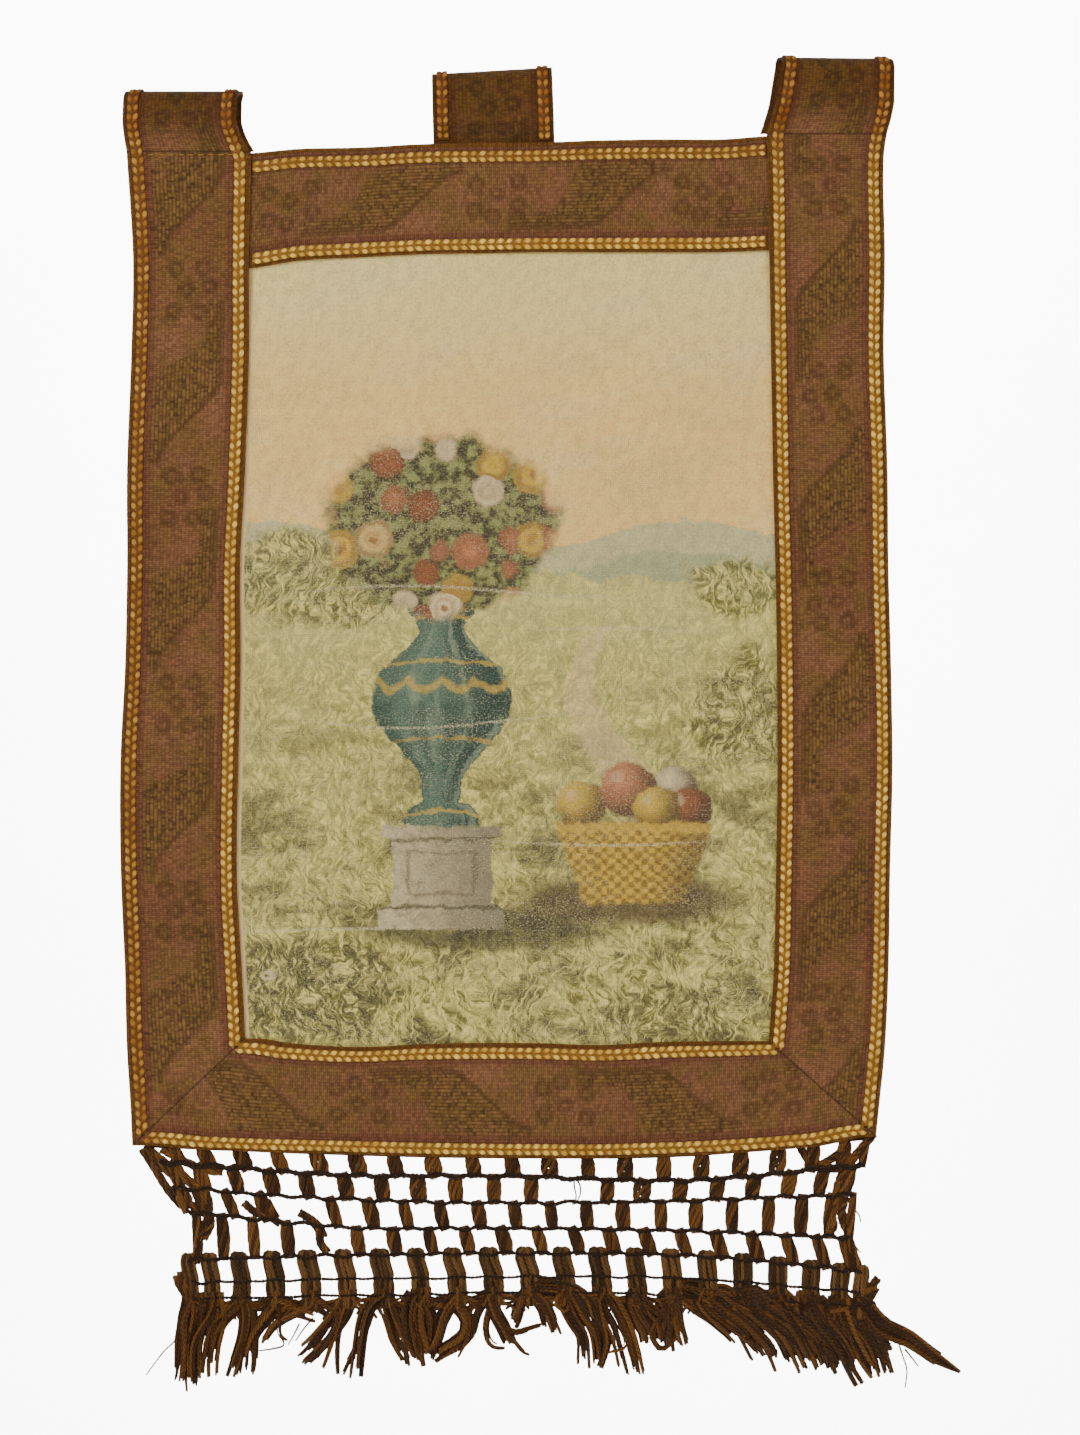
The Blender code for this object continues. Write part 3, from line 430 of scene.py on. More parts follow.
def crowded(place):
    """Bundle spacing from -1 to 1 along a net line: even, but crowded at both ends."""
    return (1.0 + END_CROWDING) * place - END_CROWDING * math.copysign(
        abs(place) ** END_CROWDING_POWER, place
    )


def line_x(line, place):
    shift = crowded(place)
    reach = line.x_right - line.x_middle if shift > 0.0 else line.x_middle - line.x_left
    return line.x_middle + shift * reach


LinePoint = namedtuple("LinePoint", "x drop")


def line_z(line, x):
    """The height of a net line, which sags unevenly between its ends."""
    points = [
        LinePoint(line.x_left, line.drop_left),
        LinePoint((line.x_left + line.x_middle) / 2, line.drop_left_half),
        LinePoint(line.x_middle, line.drop_middle),
        LinePoint((line.x_middle + line.x_right) / 2, line.drop_right_half),
        LinePoint(line.x_right, line.drop_right),
    ]
    return -table_curve(points, "x", "drop")(x)


def row_places(row):
    """Bundle places of a net row: every second row sits half a bundle further on."""
    if row % 2:
        return [2.0 * i / (BUNDLES - 1) - 1.0 for i in range(BUNDLES)]
    return [(2.0 * i + 1.0) / (BUNDLES - 1) - 1.0 for i in range(BUNDLES - 1)]


def net_middle(x, z):
    return drape(x, max(z, -HEM(0))) + NET_MIDDLE


# Materials


class Field:
    """A value or a colour inside a material, which further steps build on."""

    def __init__(self, recipe, socket):
        self.recipe = recipe
        self.socket = socket

    def __add__(self, other):
        return self.recipe.math("ADD", self, other)

    def __sub__(self, other):
        return self.recipe.math("SUBTRACT", self, other)

    def __rsub__(self, other):
        return self.recipe.math("SUBTRACT", other, self)

    def __mul__(self, other):
        return self.recipe.math("MULTIPLY", self, other)

    def __truediv__(self, other):
        return self.recipe.math("DIVIDE", self, other)

    __radd__ = __add__
    __rmul__ = __mul__

    def size(self):
        return self.recipe.math("ABSOLUTE", self)

    def sine(self):
        return self.recipe.math("SINE", self)

    def power(self, exponent):
        return self.recipe.math("POWER", self, exponent)

    def root(self):
        return self.recipe.math("SQRT", self)

    def floor(self):
        return self.recipe.math("FLOOR", self)

    def fraction(self):
        return self.recipe.math("FRACT", self)

    def least(self, other):
        return self.recipe.math("MINIMUM", self, other)

    def most(self, other):
        return self.recipe.math("MAXIMUM", self, other)

    def rise(self, low, high):
        """0 below the low value and 1 above the high one, smooth between them."""
        return self.recipe.add(
            "ShaderNodeMapRange",
            {"Value": self, "From Min": low, "From Max": high},
            interpolation_type="SMOOTHSTEP",
        )


class Recipe:
    """One material, built up from nodes."""

    def __init__(self, name, roughness, sheen=0.0, metallic=0.0):
        self.material = bpy.data.materials.new(name)
        self.material.use_nodes = True
        self.tree = self.material.node_tree
        self.shader = self.tree.nodes["Principled BSDF"]
        self.shader.inputs["Metallic"].default_value = metallic
        self.shader.inputs["Roughness"].default_value = roughness
        self.shader.inputs["Sheen Weight"].default_value = sheen
        self.shader.inputs["Sheen Roughness"].default_value = 0.5
        self.shader.inputs["Specular IOR Level"].default_value = 0.25

    def feed(self, socket, value):
        if isinstance(value, Field):
            self.tree.links.new(value.socket, socket)
        else:
            socket.default_value = value

    def add(self, kind, inputs, output=0, **settings):
        node = self.tree.nodes.new(kind)
        for key, value in settings.items():
            setattr(node, key, value)
        for key, value in inputs.items():
            self.feed(node.inputs[key], value)
        return Field(self, node.outputs[output])

    def math(self, operation, *values):
        return self.add("ShaderNodeMath", dict(enumerate(values)), operation=operation)

    def place(self):
        """Object coordinates, in metres."""
        return self.add("ShaderNodeTexCoord", {}, output="Object")

    def apart(self, vector):
        node = self.tree.nodes.new("ShaderNodeSeparateXYZ")
        self.feed(node.inputs[0], vector)
        return [Field(self, socket) for socket in node.outputs]

    def together(self, x, y, z=0.0):
        return self.add("ShaderNodeCombineXYZ", {"X": x, "Y": y, "Z": z})

    def cloth_place(self):
        """Millimetres across and along the cloth, from its UV map."""
        u, v, _ = self.apart(self.add("ShaderNodeUVMap", {}, uv_map="UVMap"))
        return u / MM, v / MM

    def noise(self, vector, scale, detail=2.0, roughness=0.5, output=0):
        return self.add(
            "ShaderNodeTexNoise",
            {"Vector": vector, "Scale": scale, "Detail": detail, "Roughness": roughness},
            output=output,
        )

    def cells(self, vector, scale, output="Distance", randomness=1.0, feature="F1"):
        return self.add(
            "ShaderNodeTexVoronoi",
            {"Vector": vector, "Scale": scale, "Randomness": randomness},
            output=output,
            feature=feature,
        )

    def scatter(self, vector):
        """A different value from 0 to 1 for each whole-number place."""
        return self.add("ShaderNodeTexWhiteNoise", {"Vector": vector})

    def oval(self, x, y, across, down, wide, tall):
        """Distance from the middle of an oval, 1 at its rim."""
        return (((x - across) / wide).power(2.0) + ((y - down) / tall).power(2.0)).root()

    def attribute(self, name):
        return self.add("ShaderNodeAttribute", {}, output="Fac", attribute_name=name)

    def mix(self, share, first, second, blend="MIX"):
        node = self.tree.nodes.new("ShaderNodeMix")
        node.data_type = "RGBA"
        node.blend_type = blend
        self.feed(node.inputs["Factor"], share)
        for socket, value in ((node.inputs[6], first), (node.inputs[7], second)):
            if not isinstance(value, Field) and len(value) == 3:
                value = (*value, 1.0)
            self.feed(socket, value)
        return Field(self, node.outputs[2])

    def shade(self, colour, amount):
        """A colour made lighter or darker by a factor that varies round 1."""
        return self.add(
            "ShaderNodeVectorMath", {0: colour, "Scale": amount}, operation="SCALE"
        )

    def finish(self, colour, height=None, depth=0.0, roughness=None):
        """Sets the colour, and the bump from a height between 0 and 1 times a depth in mm."""
        self.feed(self.shader.inputs["Base Color"], colour)
        if roughness is not None:
            self.feed(self.shader.inputs["Roughness"], roughness)
        if height is not None:
            bump = self.tree.nodes.new("ShaderNodeBump")
            bump.inputs["Strength"].default_value = 1.0
            bump.inputs["Distance"].default_value = depth * MM
            self.feed(bump.inputs["Height"], height)
            self.tree.links.new(bump.outputs[0], self.shader.inputs["Normal"])
        return self.material


RIB = 1.9
CROSS_THREAD = 1.05
PATTERN_REPEAT = 107.6
FIELD_EDGE = 51.0
BRIGHT = (0.97, 0.97, 0.97)
LOOP_CAST = (0.60, 0.55, 0.28)
CAST_REACH = 26.0
Ring = namedtuple("Ring", "along inward radius")
ROSETTE = [
    Ring(-11.1, 14.5, 4.8),
    Ring(-1.6, 10.8, 4.6),
    Ring(11.7, 16.6, 4.8),
    Ring(-10.6, 28.3, 4.8),
    Ring(11.7, 29.4, 4.8),
    Ring(0.0, 23.0, 4.4),
]


def galloon_material(name, looks, cast):
    """Patterned galloon: ribbed olive leaves and rings on a mauve ground, stepped by its threads, with
    painted shade between the threads and along the seams.

    The cast is a colour that darkens it away from its seam.
    """
    recipe = Recipe(name, 0.9, sheen=0.1)
    u, v = recipe.cloth_place()
    stray = recipe.noise(recipe.together(u, v), 0.10, 2.0) - 0.5
    rib = u / RIB + stray * 0.7
    cross = v / CROSS_THREAD + stray * 1.2
    rib_number = rib.floor()
    crossing = recipe.scatter(recipe.together(rib_number, cross.floor()))
    inward = FIELD_EDGE - (rib_number + crossing * 0.6 + 0.2) * RIB
    turns = v / PATTERN_REPEAT + (crossing - 0.5) * 0.012
    after = turns.fraction() * PATTERN_REPEAT
    round_rosette = ((turns + 0.5).fraction() - 0.5) * PATTERN_REPEAT

    # The leaf, a long comma that broadens behind each rosette
    upper = 5.0 + after.rise(45.0, 90.0) * 30.0
    lower = 12.0 + after.rise(26.0, 48.0) * 28.0
    run = after.rise(4.0, 8.0) * (93.0 - after).rise(0.0, 4.0)
    blur = (crossing - 0.5) * 3.4 + stray * 5.0
    leaf = (inward + blur - upper).rise(-1.8, 1.8) * (lower - inward - blur).rise(-1.8, 1.8) * run
    outline = (1.0 - (inward + blur * 0.3 - upper).size().rise(0.8, 2.2)) * run
    underline = (1.0 - (inward + blur * 0.3 - lower).size().rise(0.5, 2.0)) * run * 0.5
    rings = None
    for ring in ROSETTE:
        away = (
            (round_rosette - ring.along).power(2.0) + (inward - ring.inward).power(2.0)
        ).root()
        band = 1.0 - (away + blur * 0.2 - ring.radius * 0.7).size().rise(0.9, 2.2)
        rings = band if rings is None else rings.most(band)

    # The threads: whole ribs with dashes in the leaf, fine cross threads on the ground
    dash = recipe.noise(recipe.together(rib_number * 3.7, v * 0.30), 1.0, 1.0).rise(0.40, 0.60)
    rib_round = 1.0 - ((rib.fraction() - 0.5).size() * 2.0).power(2.0)
    cross_round = 1.0 - ((cross.fraction() - 0.5).size() * 2.0).power(2.0)
    plain = rib_round * 0.40 + cross_round * 0.60
    ribbed = rib_round * (0.30 + dash * 0.70)
    height = plain * (1.0 - leaf) + ribbed * leaf

    patchy = recipe.noise(recipe.place(), 11.0, 4.0, 0.6)
    tint = recipe.noise(recipe.together(u, v), 0.055, 3.0, 0.6)
    colour = recipe.mix(patchy.rise(0.30, 0.70), looks.mauve, looks.mauve_light)
    grain = crossing.rise(0.30, 0.62)
    colour = recipe.mix(tint.rise(0.38, 0.60) * 0.8, colour, looks.olive)
    colour = recipe.mix(leaf * (0.45 + grain * 0.30), colour, looks.olive)
    colour = recipe.mix(outline.most(underline) * (0.10 + grain * 0.45), colour, looks.dark)
    colour = recipe.mix(rings * (0.06 + grain * 0.60), colour, looks.dark)
    off_middle = (u - 30.0).size()
    colour = recipe.mix((off_middle - 17.0).rise(0.0, 3.0) * 0.75, colour, looks.purple)
    colour = recipe.mix((off_middle - 27.4).rise(0.0, 0.8), colour, looks.selvedge)
    seam = recipe.attribute("seam")
    sunk = seam.rise(0.0, 1.3)
    # Painted shade: a dark line along each seam stands in for the shade in its crease, with a dip in the bump
    # beside it
    colour = recipe.mix((1.0 - seam.rise(0.15, 0.75)) * 0.7, colour, looks.dark)
    wear = recipe.noise(recipe.together(u, v), 0.55, 4.0, 0.8)
    light_thread = recipe.noise(recipe.together(u * 1.6, v * 0.8), 0.7, 2.0, 0.8).rise(0.54, 0.64)
    # The tone is partly painted shade: each thread is lighter on its crown and darker in the grooves between
    # threads; the crossings, fading, wear and light threads vary at random
    tone = height * 0.85 + crossing * 0.62 + patchy * 0.12 + wear * 0.36 + light_thread * 0.42
    cast_here = recipe.mix(seam.rise(0.0, CAST_REACH), BRIGHT, cast)
    colour = recipe.mix(1.0, colour, cast_here, blend="MULTIPLY")
    return recipe.finish(recipe.shade(colour, tone), height * 0.7 + sunk * 0.9, 0.45)


Crease = namedtuple("Crease", "drop bend middle reach")
CREASES = [
    Crease(176.0, 3.0, -20.0, 110.0),
    Crease(197.0, -2.0, 60.0, 60.0),
    Crease(243.0, -4.0, -30.0, 90.0),
    Crease(306.0, 2.0, 40.0, 80.0),
    Crease(352.0, 1.0, -90.0, 80.0),
]


Bush = namedtuple("Bush", "across down wide tall depth")
BUSHES = [
    Bush(-112.0, 168.0, 34.0, 26.0, 0.4),
    Bush(-74.0, 182.0, 22.0, 13.0, 0.3),
    Bush(120.0, 172.0, 26.0, 15.0, 0.3),
    Bush(122.0, 238.0, 26.0, 30.0, 0.6),
    Bush(-104.0, 382.0, 42.0, 26.0, 0.9),
    Bush(84.0, 396.0, 34.0, 14.0, 0.7),
]


def picture_material(looks):
    """A generic garden picture: an urn of flowers and a basket under a warm sky, worn and creased."""
    recipe = Recipe("picture_cloth", 0.88, sheen=0.05)
    u, v = recipe.cloth_place()
    flat = recipe.together(u, v)
    slow = recipe.noise(flat, 0.035, 3.0, 0.6) - 0.5
    ragged = recipe.noise(flat, 0.30, 4.0, 0.7) - 0.5
    dab = recipe.noise(flat, 0.11, 2.0, 0.6) - 0.5
    x = u + ragged * 4.5 + dab * 5.0
    y = v + ragged * 4.5 - dab * 5.0

    colour = sky_layer(recipe, looks, u, v, x, y, slow)
    colour = meadow_layer(recipe, looks, colour, u, v, x, y, slow)
    colour = daisy_layer(recipe, looks, colour, x, y, v)
    colour = plinth_layer(recipe, looks, colour, x, y)
    colour = urn_layer(recipe, looks, colour, x, y)
    colour = bouquet_layer(recipe, looks, colour, flat, x, y, slow)
    colour = basket_layer(recipe, looks, colour, x, y)

    # Brush dabs of many tones
    dabs = recipe.noise(recipe.together(u + v * 0.3, v * 0.7), 0.20, 3.0, 0.7)
    specks = recipe.noise(flat, 0.75, 3.0, 0.8)
    painted = 0.80 + dabs.rise(0.35, 0.65) * 0.22 + specks.rise(0.35, 0.65) * 0.28

    # Wear: white flecks in level bands, scratches and creases, and the bare cloth at the left
    flecks = recipe.noise(recipe.together(u, v * 1.3), 0.80, 4.0, 0.9)
    bands = recipe.noise(recipe.together(u * 0.012, v * 0.05), 1.0, 3.0, 0.6).rise(0.36, 0.60)
    patch = recipe.noise(flat, 0.020, 3.0, 0.6).rise(0.36, 0.56)
    aged = (v / 100.0).least(1.0) * (0.25 + bands * patch * 0.75)
    worn = flecks.rise(0.53, 0.60) * aged
    scratch = recipe.noise(recipe.together(u * 0.10, v * 1.4), 0.9, 3.0, 0.8).rise(0.60, 0.66)
    broken = flecks.rise(0.46, 0.54)
    worn = worn.most(scratch * broken * (0.2 + patch * 0.8) * aged)
    crease = None
    for drop, bend, middle, reach in CREASES:
        line = v - drop - (u * 0.03).sine() * bend - ragged * 2.5
        shown = 1.0 - (u - middle).size().rise(reach * 0.4, reach)
        fold = (1.0 - line.size().rise(0.2, 1.2)) * shown
        crease = fold if crease is None else crease.most(fold)
    worn = worn.most(crease * broken)
    edge = recipe.attribute("margin") + ragged * 1.2

    threads = ((u * (math.tau / 0.95)).sine() + (v * (math.tau / 0.95)).sine()) * 0.25 + 0.5
    colour = recipe.mix(worn * 0.85, recipe.shade(colour, painted), looks.fleck)
    colour = recipe.mix(1.0 - edge.rise(1.8, 2.7), colour, looks.bare)
    plain = recipe.attribute("behind").rise(0.3, 0.7)
    stained = recipe.mix(patch * 0.5, looks.bare, looks.stone)
    colour = recipe.mix(plain * 0.82, colour, stained)
    # The weave is painted shade: each thread is lighter on its crown and darker between threads; the specks
    # vary at random
    tone = 0.80 + threads * 0.28 + specks * 0.12
    return recipe.finish(recipe.shade(colour, tone), threads * 0.6 + worn * 0.4, 0.25)


def inside(distance, edge=0.06):
    """1 within a shape whose rim is at distance 1, 0 outside it."""
    return 1.0 - distance.rise(1.0 - edge, 1.0 + edge)


def sky_layer(recipe, looks, u, v, x, y, slow):
    """Pale sky that warms towards the far hills."""
    sky = recipe.mix(v.rise(0.0, 95.0), looks.sky_top, looks.sky_low)
    cloud = recipe.noise(recipe.together(u * 0.6 + v * 0.5, v * 1.3), 0.022, 4.0, 0.6)
    sky = recipe.mix(cloud.rise(0.45, 0.70) * 0.45, sky, looks.cream)
    sky = recipe.mix(cloud.rise(0.30, 0.48) * -0.35 + 0.35, sky, looks.sky_shade)
    ridge = 150.0 - ((x - 40.0) * 0.028).sine() * 10.0 - slow * 14.0
    near_ridge = 160.0 - ((x + 70.0) * 0.05).sine() * 6.0 - slow * 12.0
    sky = recipe.mix((y - ridge).rise(-0.8, 0.8) * 0.8, sky, looks.hill)
    return recipe.mix((y - near_ridge).rise(-0.8, 0.8) * 0.8, sky, looks.hill_near)


def meadow_layer(recipe, looks, colour, u, v, x, y, slow):
    """Grass in short strokes, darker in front, with bushes and a pale path."""
    lean = u + slow * 40.0
    blades = recipe.noise(recipe.together(lean + v * 0.25, v * 0.30), 0.40, 4.0, 0.7)
    cross_blades = recipe.noise(recipe.together(lean * 0.9 - v * 0.5, v * 0.3), 0.34, 4.0, 0.7)
    clump = recipe.noise(recipe.together(u, v * 1.6), 0.028, 5.0, 0.7)
    near = v.rise(230.0, 400.0)
    grass = recipe.mix(blades.rise(0.40, 0.62), looks.grass, looks.meadow)
    grass = recipe.mix(cross_blades.rise(0.48, 0.60) * (0.4 + near * 0.5), grass, looks.meadow_dark)
    grass = recipe.mix(clump.rise(0.46, 0.62) * v.rise(190.0, 320.0) * 0.8, grass, looks.shade)
    long_blades = recipe.noise(recipe.together(lean * 0.6 + v * 0.34, v * 0.07), 0.75, 2.0, 0.6)
    grass = recipe.mix(long_blades.rise(0.57, 0.62) * near * 0.8, grass, looks.meadow)
    grass = recipe.mix((1.0 - v.rise(170.0, 235.0)) * 0.45, grass, looks.cream_green)
    edge = 176.0 - ((x + 30.0) * 0.022).sine() * 9.0 - slow * 26.0
    colour = recipe.mix((y - edge).rise(-1.2, 1.2), colour, grass)
    path = ((x - 62.0 + (v * 0.035).sine() * 24.0) / (4.0 + v.rise(180.0, 330.0) * 16.0)).size()
    shown = inside(path, 0.25) * v.rise(186.0, 200.0) * (1.0 - v.rise(270.0, 320.0))
    colour = recipe.mix(shown * 0.45, colour, looks.path)
    for bush in BUSHES:
        away = recipe.oval(x, y, bush.across, bush.down, bush.wide, bush.tall) + slow * 1.6
        leaves = recipe.mix(blades.rise(0.42, 0.60), looks.meadow_dark, looks.meadow)
        leaves = recipe.mix(cross_blades.rise(0.44, 0.56) * bush.depth, leaves, looks.shade)
        colour = recipe.mix(inside(away, 0.16) * 0.9, colour, leaves)
    return colour


URN_MIDDLE = -34.0


def plinth_layer(recipe, looks, colour, x, y):
    """A block of pale stone under the urn, and its shadow on the grass."""
    shadow = recipe.oval(x, y, URN_MIDDLE + 22.0, 352.0, 62.0, 11.0)
    colour = recipe.mix(inside(shadow, 0.3) * 0.8, colour, looks.shade)
    half = 31.0 - y.rise(303.0, 306.0) * 5.0 + y.rise(338.0, 341.0) * 7.0
    off = x - URN_MIDDLE
    block = (half - off.size()).rise(-0.5, 0.5) * y.rise(297.0, 298.5) * (1.0 - y.rise(351.0, 352.5))
    stone = recipe.mix((off / 34.0).rise(-0.9, 0.9), looks.stone, looks.stone_shade)
    rough = recipe.noise(recipe.together(x, y * 1.6), 0.12, 4.0, 0.8)
    stone = recipe.mix(rough.rise(0.45, 0.62) * 0.6, stone, looks.stone_shade)
    stone = recipe.mix(rough.rise(0.62, 0.70) * 0.6, stone, looks.meadow_dark)
    lines = (1.0 - (y - 305.0).size().rise(0.4, 1.6)).most(1.0 - (y - 340.0).size().rise(0.4, 1.6))
    stone = recipe.mix(lines * 0.7, stone, looks.shade)
    panel = 1.0 - ((off / 17.0).power(2.0).most(((y - 322.5) / 11.0).power(2.0)) - 1.0).size().rise(0.08, 0.2)
    stone = recipe.mix(panel * 0.45, stone, looks.umber)
    return recipe.mix(block, colour, stone)


def urn_layer(recipe, looks, colour, x, y):
    """A tall teal urn with a lip, a full belly and a foot."""
    half = (
        18.0 - y.rise(184.0, 194.0) * 6.0 + y.rise(195.0, 226.0) * 24.0
        - y.rise(236.0, 279.0) * 26.0 + y.rise(284.0, 293.0) * 10.0
    )
    off = x - URN_MIDDLE
    share = off / half
    body = (1.0 - share.size()).rise(-0.02, 0.03) * y.rise(178.0, 179.5) * (1.0 - y.rise(297.0, 298.5))
    glaze = recipe.mix((share + 0.35).size().rise(0.0, 1.25), looks.teal, looks.teal_dark)
    folds = recipe.noise(recipe.together(share * 3.0, y * 0.012), 1.3, 3.0, 0.6)
    glaze = recipe.mix(folds.rise(0.50, 0.66) * 0.6, glaze, looks.teal_light)
    for down in (188.0, 212.0, 252.0, 290.0):
        line = 1.0 - (y - down - share.power(2.0) * 2.5).size().rise(0.5, 1.3)
        glaze = recipe.mix(line * 0.6, glaze, looks.mustard)
    flutes = (share * 13.0).sine() * 0.5 + 0.5
    low_belly = y.rise(231.0, 236.0) * (1.0 - y.rise(266.0, 276.0))
    glaze = recipe.mix(flutes.rise(0.25, 0.80) * low_belly * 0.55, glaze, looks.teal_dark)
    garland = 222.0 + (share * 6.3).sine().size() * 5.0
    glaze = recipe.mix((1.0 - (y - garland).size().rise(1.0, 3.2)) * 0.6, glaze, looks.mustard)
    return recipe.mix(body, colour, glaze)


def bouquet_layer(recipe, looks, colour, flat, x, y, slow):
    """Round flowers and leaves that spread over the urn's lip."""
    away = recipe.oval(x, y, URN_MIDDLE, 142.0, 60.0, 47.0) + slow * 0.55
    leaves = recipe.noise(flat, 0.16, 3.0, 0.7)
    mass = recipe.mix(leaves.rise(0.42, 0.62), looks.shade, looks.leaf)
    soft = recipe.together(x, y)
    petals = recipe.cells(soft, 1.0 / 20.0, randomness=0.9)
    pick = recipe.cells(soft, 1.0 / 20.0, output="Color", randomness=0.9)
    first, second, _ = recipe.apart(pick)
    bloom = recipe.mix(first.rise(0.30, 0.36), looks.rose, looks.cream)
    bloom = recipe.mix(first.rise(0.58, 0.62), bloom, looks.mustard)
    bloom = recipe.mix(first.rise(0.82, 0.86), bloom, looks.rose_dark)
    whorl = (petals * 26.0 + second * 6.0).sine() * 0.5 + 0.5
    bloom = recipe.mix(whorl * 0.45, bloom, looks.rose_dark)
    bloom = recipe.mix((1.0 - petals.rise(0.06, 0.14)) * 0.8, bloom, looks.rose_dark)
    bloom = recipe.mix(petals.rise(0.22, 0.55) * 0.5, bloom, looks.umber)
    mass = recipe.mix((0.46 + second * 0.10 - petals).rise(-0.03, 0.05), mass, bloom)
    return recipe.mix(inside(away, 0.08), colour, mass)


def basket_layer(recipe, looks, colour, x, y):
    """A mustard basket of fruit at the right, on a dark patch of ground."""
    middle, rim = 66.0, 296.0
    ground = recipe.oval(x, y, middle - 2.0, 336.0, 58.0, 13.0)
    colour = recipe.mix(inside(ground, 0.3) * 0.85, colour, looks.umber)
    for across, down, size, tint in (
        (-27.0, 287.0, 13.0, looks.mustard), (22.0, 278.0, 12.0, looks.stone),
        (-3.0, 279.0, 15.0, looks.rose), (29.0, 289.0, 12.0, looks.rose_dark),
        (12.0, 289.0, 12.0, looks.mustard),
    ):
        away = recipe.oval(x, y, middle + across, down, size, size * 0.95)
        lit = recipe.oval(x, y, middle + across - size * 0.4, down - size * 0.4, size, size)
        fruit = recipe.mix(lit.rise(0.25, 1.30) * 0.9, tint, looks.umber)
        fruit = recipe.mix((1.0 - lit.rise(0.10, 0.35)) * 0.4, fruit, looks.cream)
        colour = recipe.mix(inside(away, 0.08), colour, fruit)
    half = 41.0 - (y - rim).rise(0.0, 40.0) * 13.0
    share = (x - middle) / half
    body = (1.0 - share.size()).rise(-0.02, 0.04) * y.rise(rim - 1.0, rim + 1.0)
    body = body * (1.0 - y.rise(337.0, 340.0))
    weave = (x * (math.tau / 7.0)).sine() * (y * (math.tau / 6.0)).sine() * 0.5 + 0.5
    wicker = recipe.mix(weave.rise(0.20, 0.80), looks.mustard_dark, looks.mustard)
    wicker = recipe.mix((share - 0.1).rise(0.0, 1.0) * 0.7, wicker, looks.umber)
    wicker = recipe.mix((1.0 - (y - rim - 3.0).size().rise(1.5, 3.0)) * 0.7, wicker, looks.mustard)
    return recipe.mix(body, colour, wicker)


def daisy_layer(recipe, looks, colour, x, y, v):
    """Small pale flowers scattered in the foreground."""
    soft = recipe.together(x * 0.9, y * 1.2)
    at = recipe.cells(soft, 1.0 / 22.0)
    first, second, _ = recipe.apart(recipe.cells(soft, 1.0 / 22.0, output="Color"))
    chosen = first.rise(0.60, 0.62) * v.rise(290.0, 320.0)
    petals = (0.12 + second * 0.08 - at).rise(-0.02, 0.04) * chosen
    colour = recipe.mix(petals * 0.75, colour, looks.pale)
    return recipe.mix((0.055 - at).rise(-0.01, 0.02) * chosen, colour, looks.mustard_dark)


def gold_material(looks):
    """Gold yarn: warm yellow on the front edges, rustier on the loops and the outer left, with painted shade
    where the stitches meet.
    """
    recipe = Recipe("gold_braid", 0.55, sheen=0.05)
    place = recipe.place()
    x, _, z = recipe.apart(place)
    u, v = recipe.cloth_place()
    tone = recipe.attribute("tone")
    rust = ((x * -1.0).rise(0.175, 0.188) * 0.80).most(z.rise(-0.045, -0.006))
    drift = recipe.noise(place, 16.0, 3.0).rise(0.30, 0.70)
    colour = recipe.mix(drift * 0.35 + tone * 0.65, looks.gold, looks.gold_light)
    colour = recipe.mix(rust * (0.98 - tone.most(0.0) * 0.22), colour, looks.rust)
    # Painted shade: each stitch darkens towards its ends, where it tucks under its neighbour, in the colour
    # of the braid's ground
    ends = (v * -1.0).rise(0.3, 1.5).most(v.rise(0.8, 1.5) * 0.4)
    ground = recipe.mix(rust, looks.gold_deep, looks.rust_deep)
    colour = recipe.mix(ends * 0.8, colour, ground)
    colour = recipe.mix(1.0 - tone.rise(-0.25, -0.05), colour, ground)
    strands = (u * (math.tau / 0.6) + v * 1.4).sine() * 0.5 + 0.5
    fuzz = recipe.noise(place, 1400.0, 2.0)
    shading = 0.66 + tone.most(0.0) * 0.42 + strands * 0.16 + fuzz * 0.24
    return recipe.finish(recipe.shade(colour, shading), strands * 0.6 + fuzz * 0.4, 0.12)


def yarn_material(name, dark, light):
    """Loosely twisted yarn, its plies wound round it."""
    recipe = Recipe(name, 0.9, sheen=0.08)
    u, v = recipe.cloth_place()
    place = recipe.place()
    tone = recipe.attribute("tone")
    twist = (u * (math.tau / 1.5) + v * (math.tau / 2.6)).sine() * 0.5 + 0.5
    fuzz = recipe.noise(place, 900.0, 3.0, 0.7)
    faded = recipe.noise(place, 30.0, 2.0).rise(0.35, 0.70)
    colour = recipe.mix(tone.rise(0.1, 0.95) * 0.8 + faded * 0.2, dark, light)
    shading = 0.40 + twist * 0.75 + fuzz * 0.45
    return recipe.finish(recipe.shade(colour, shading), twist * 0.7 + fuzz * 0.3, 0.25)


# Making pieces


def clear_selection():
    bpy.ops.object.select_all(action="DESELECT")


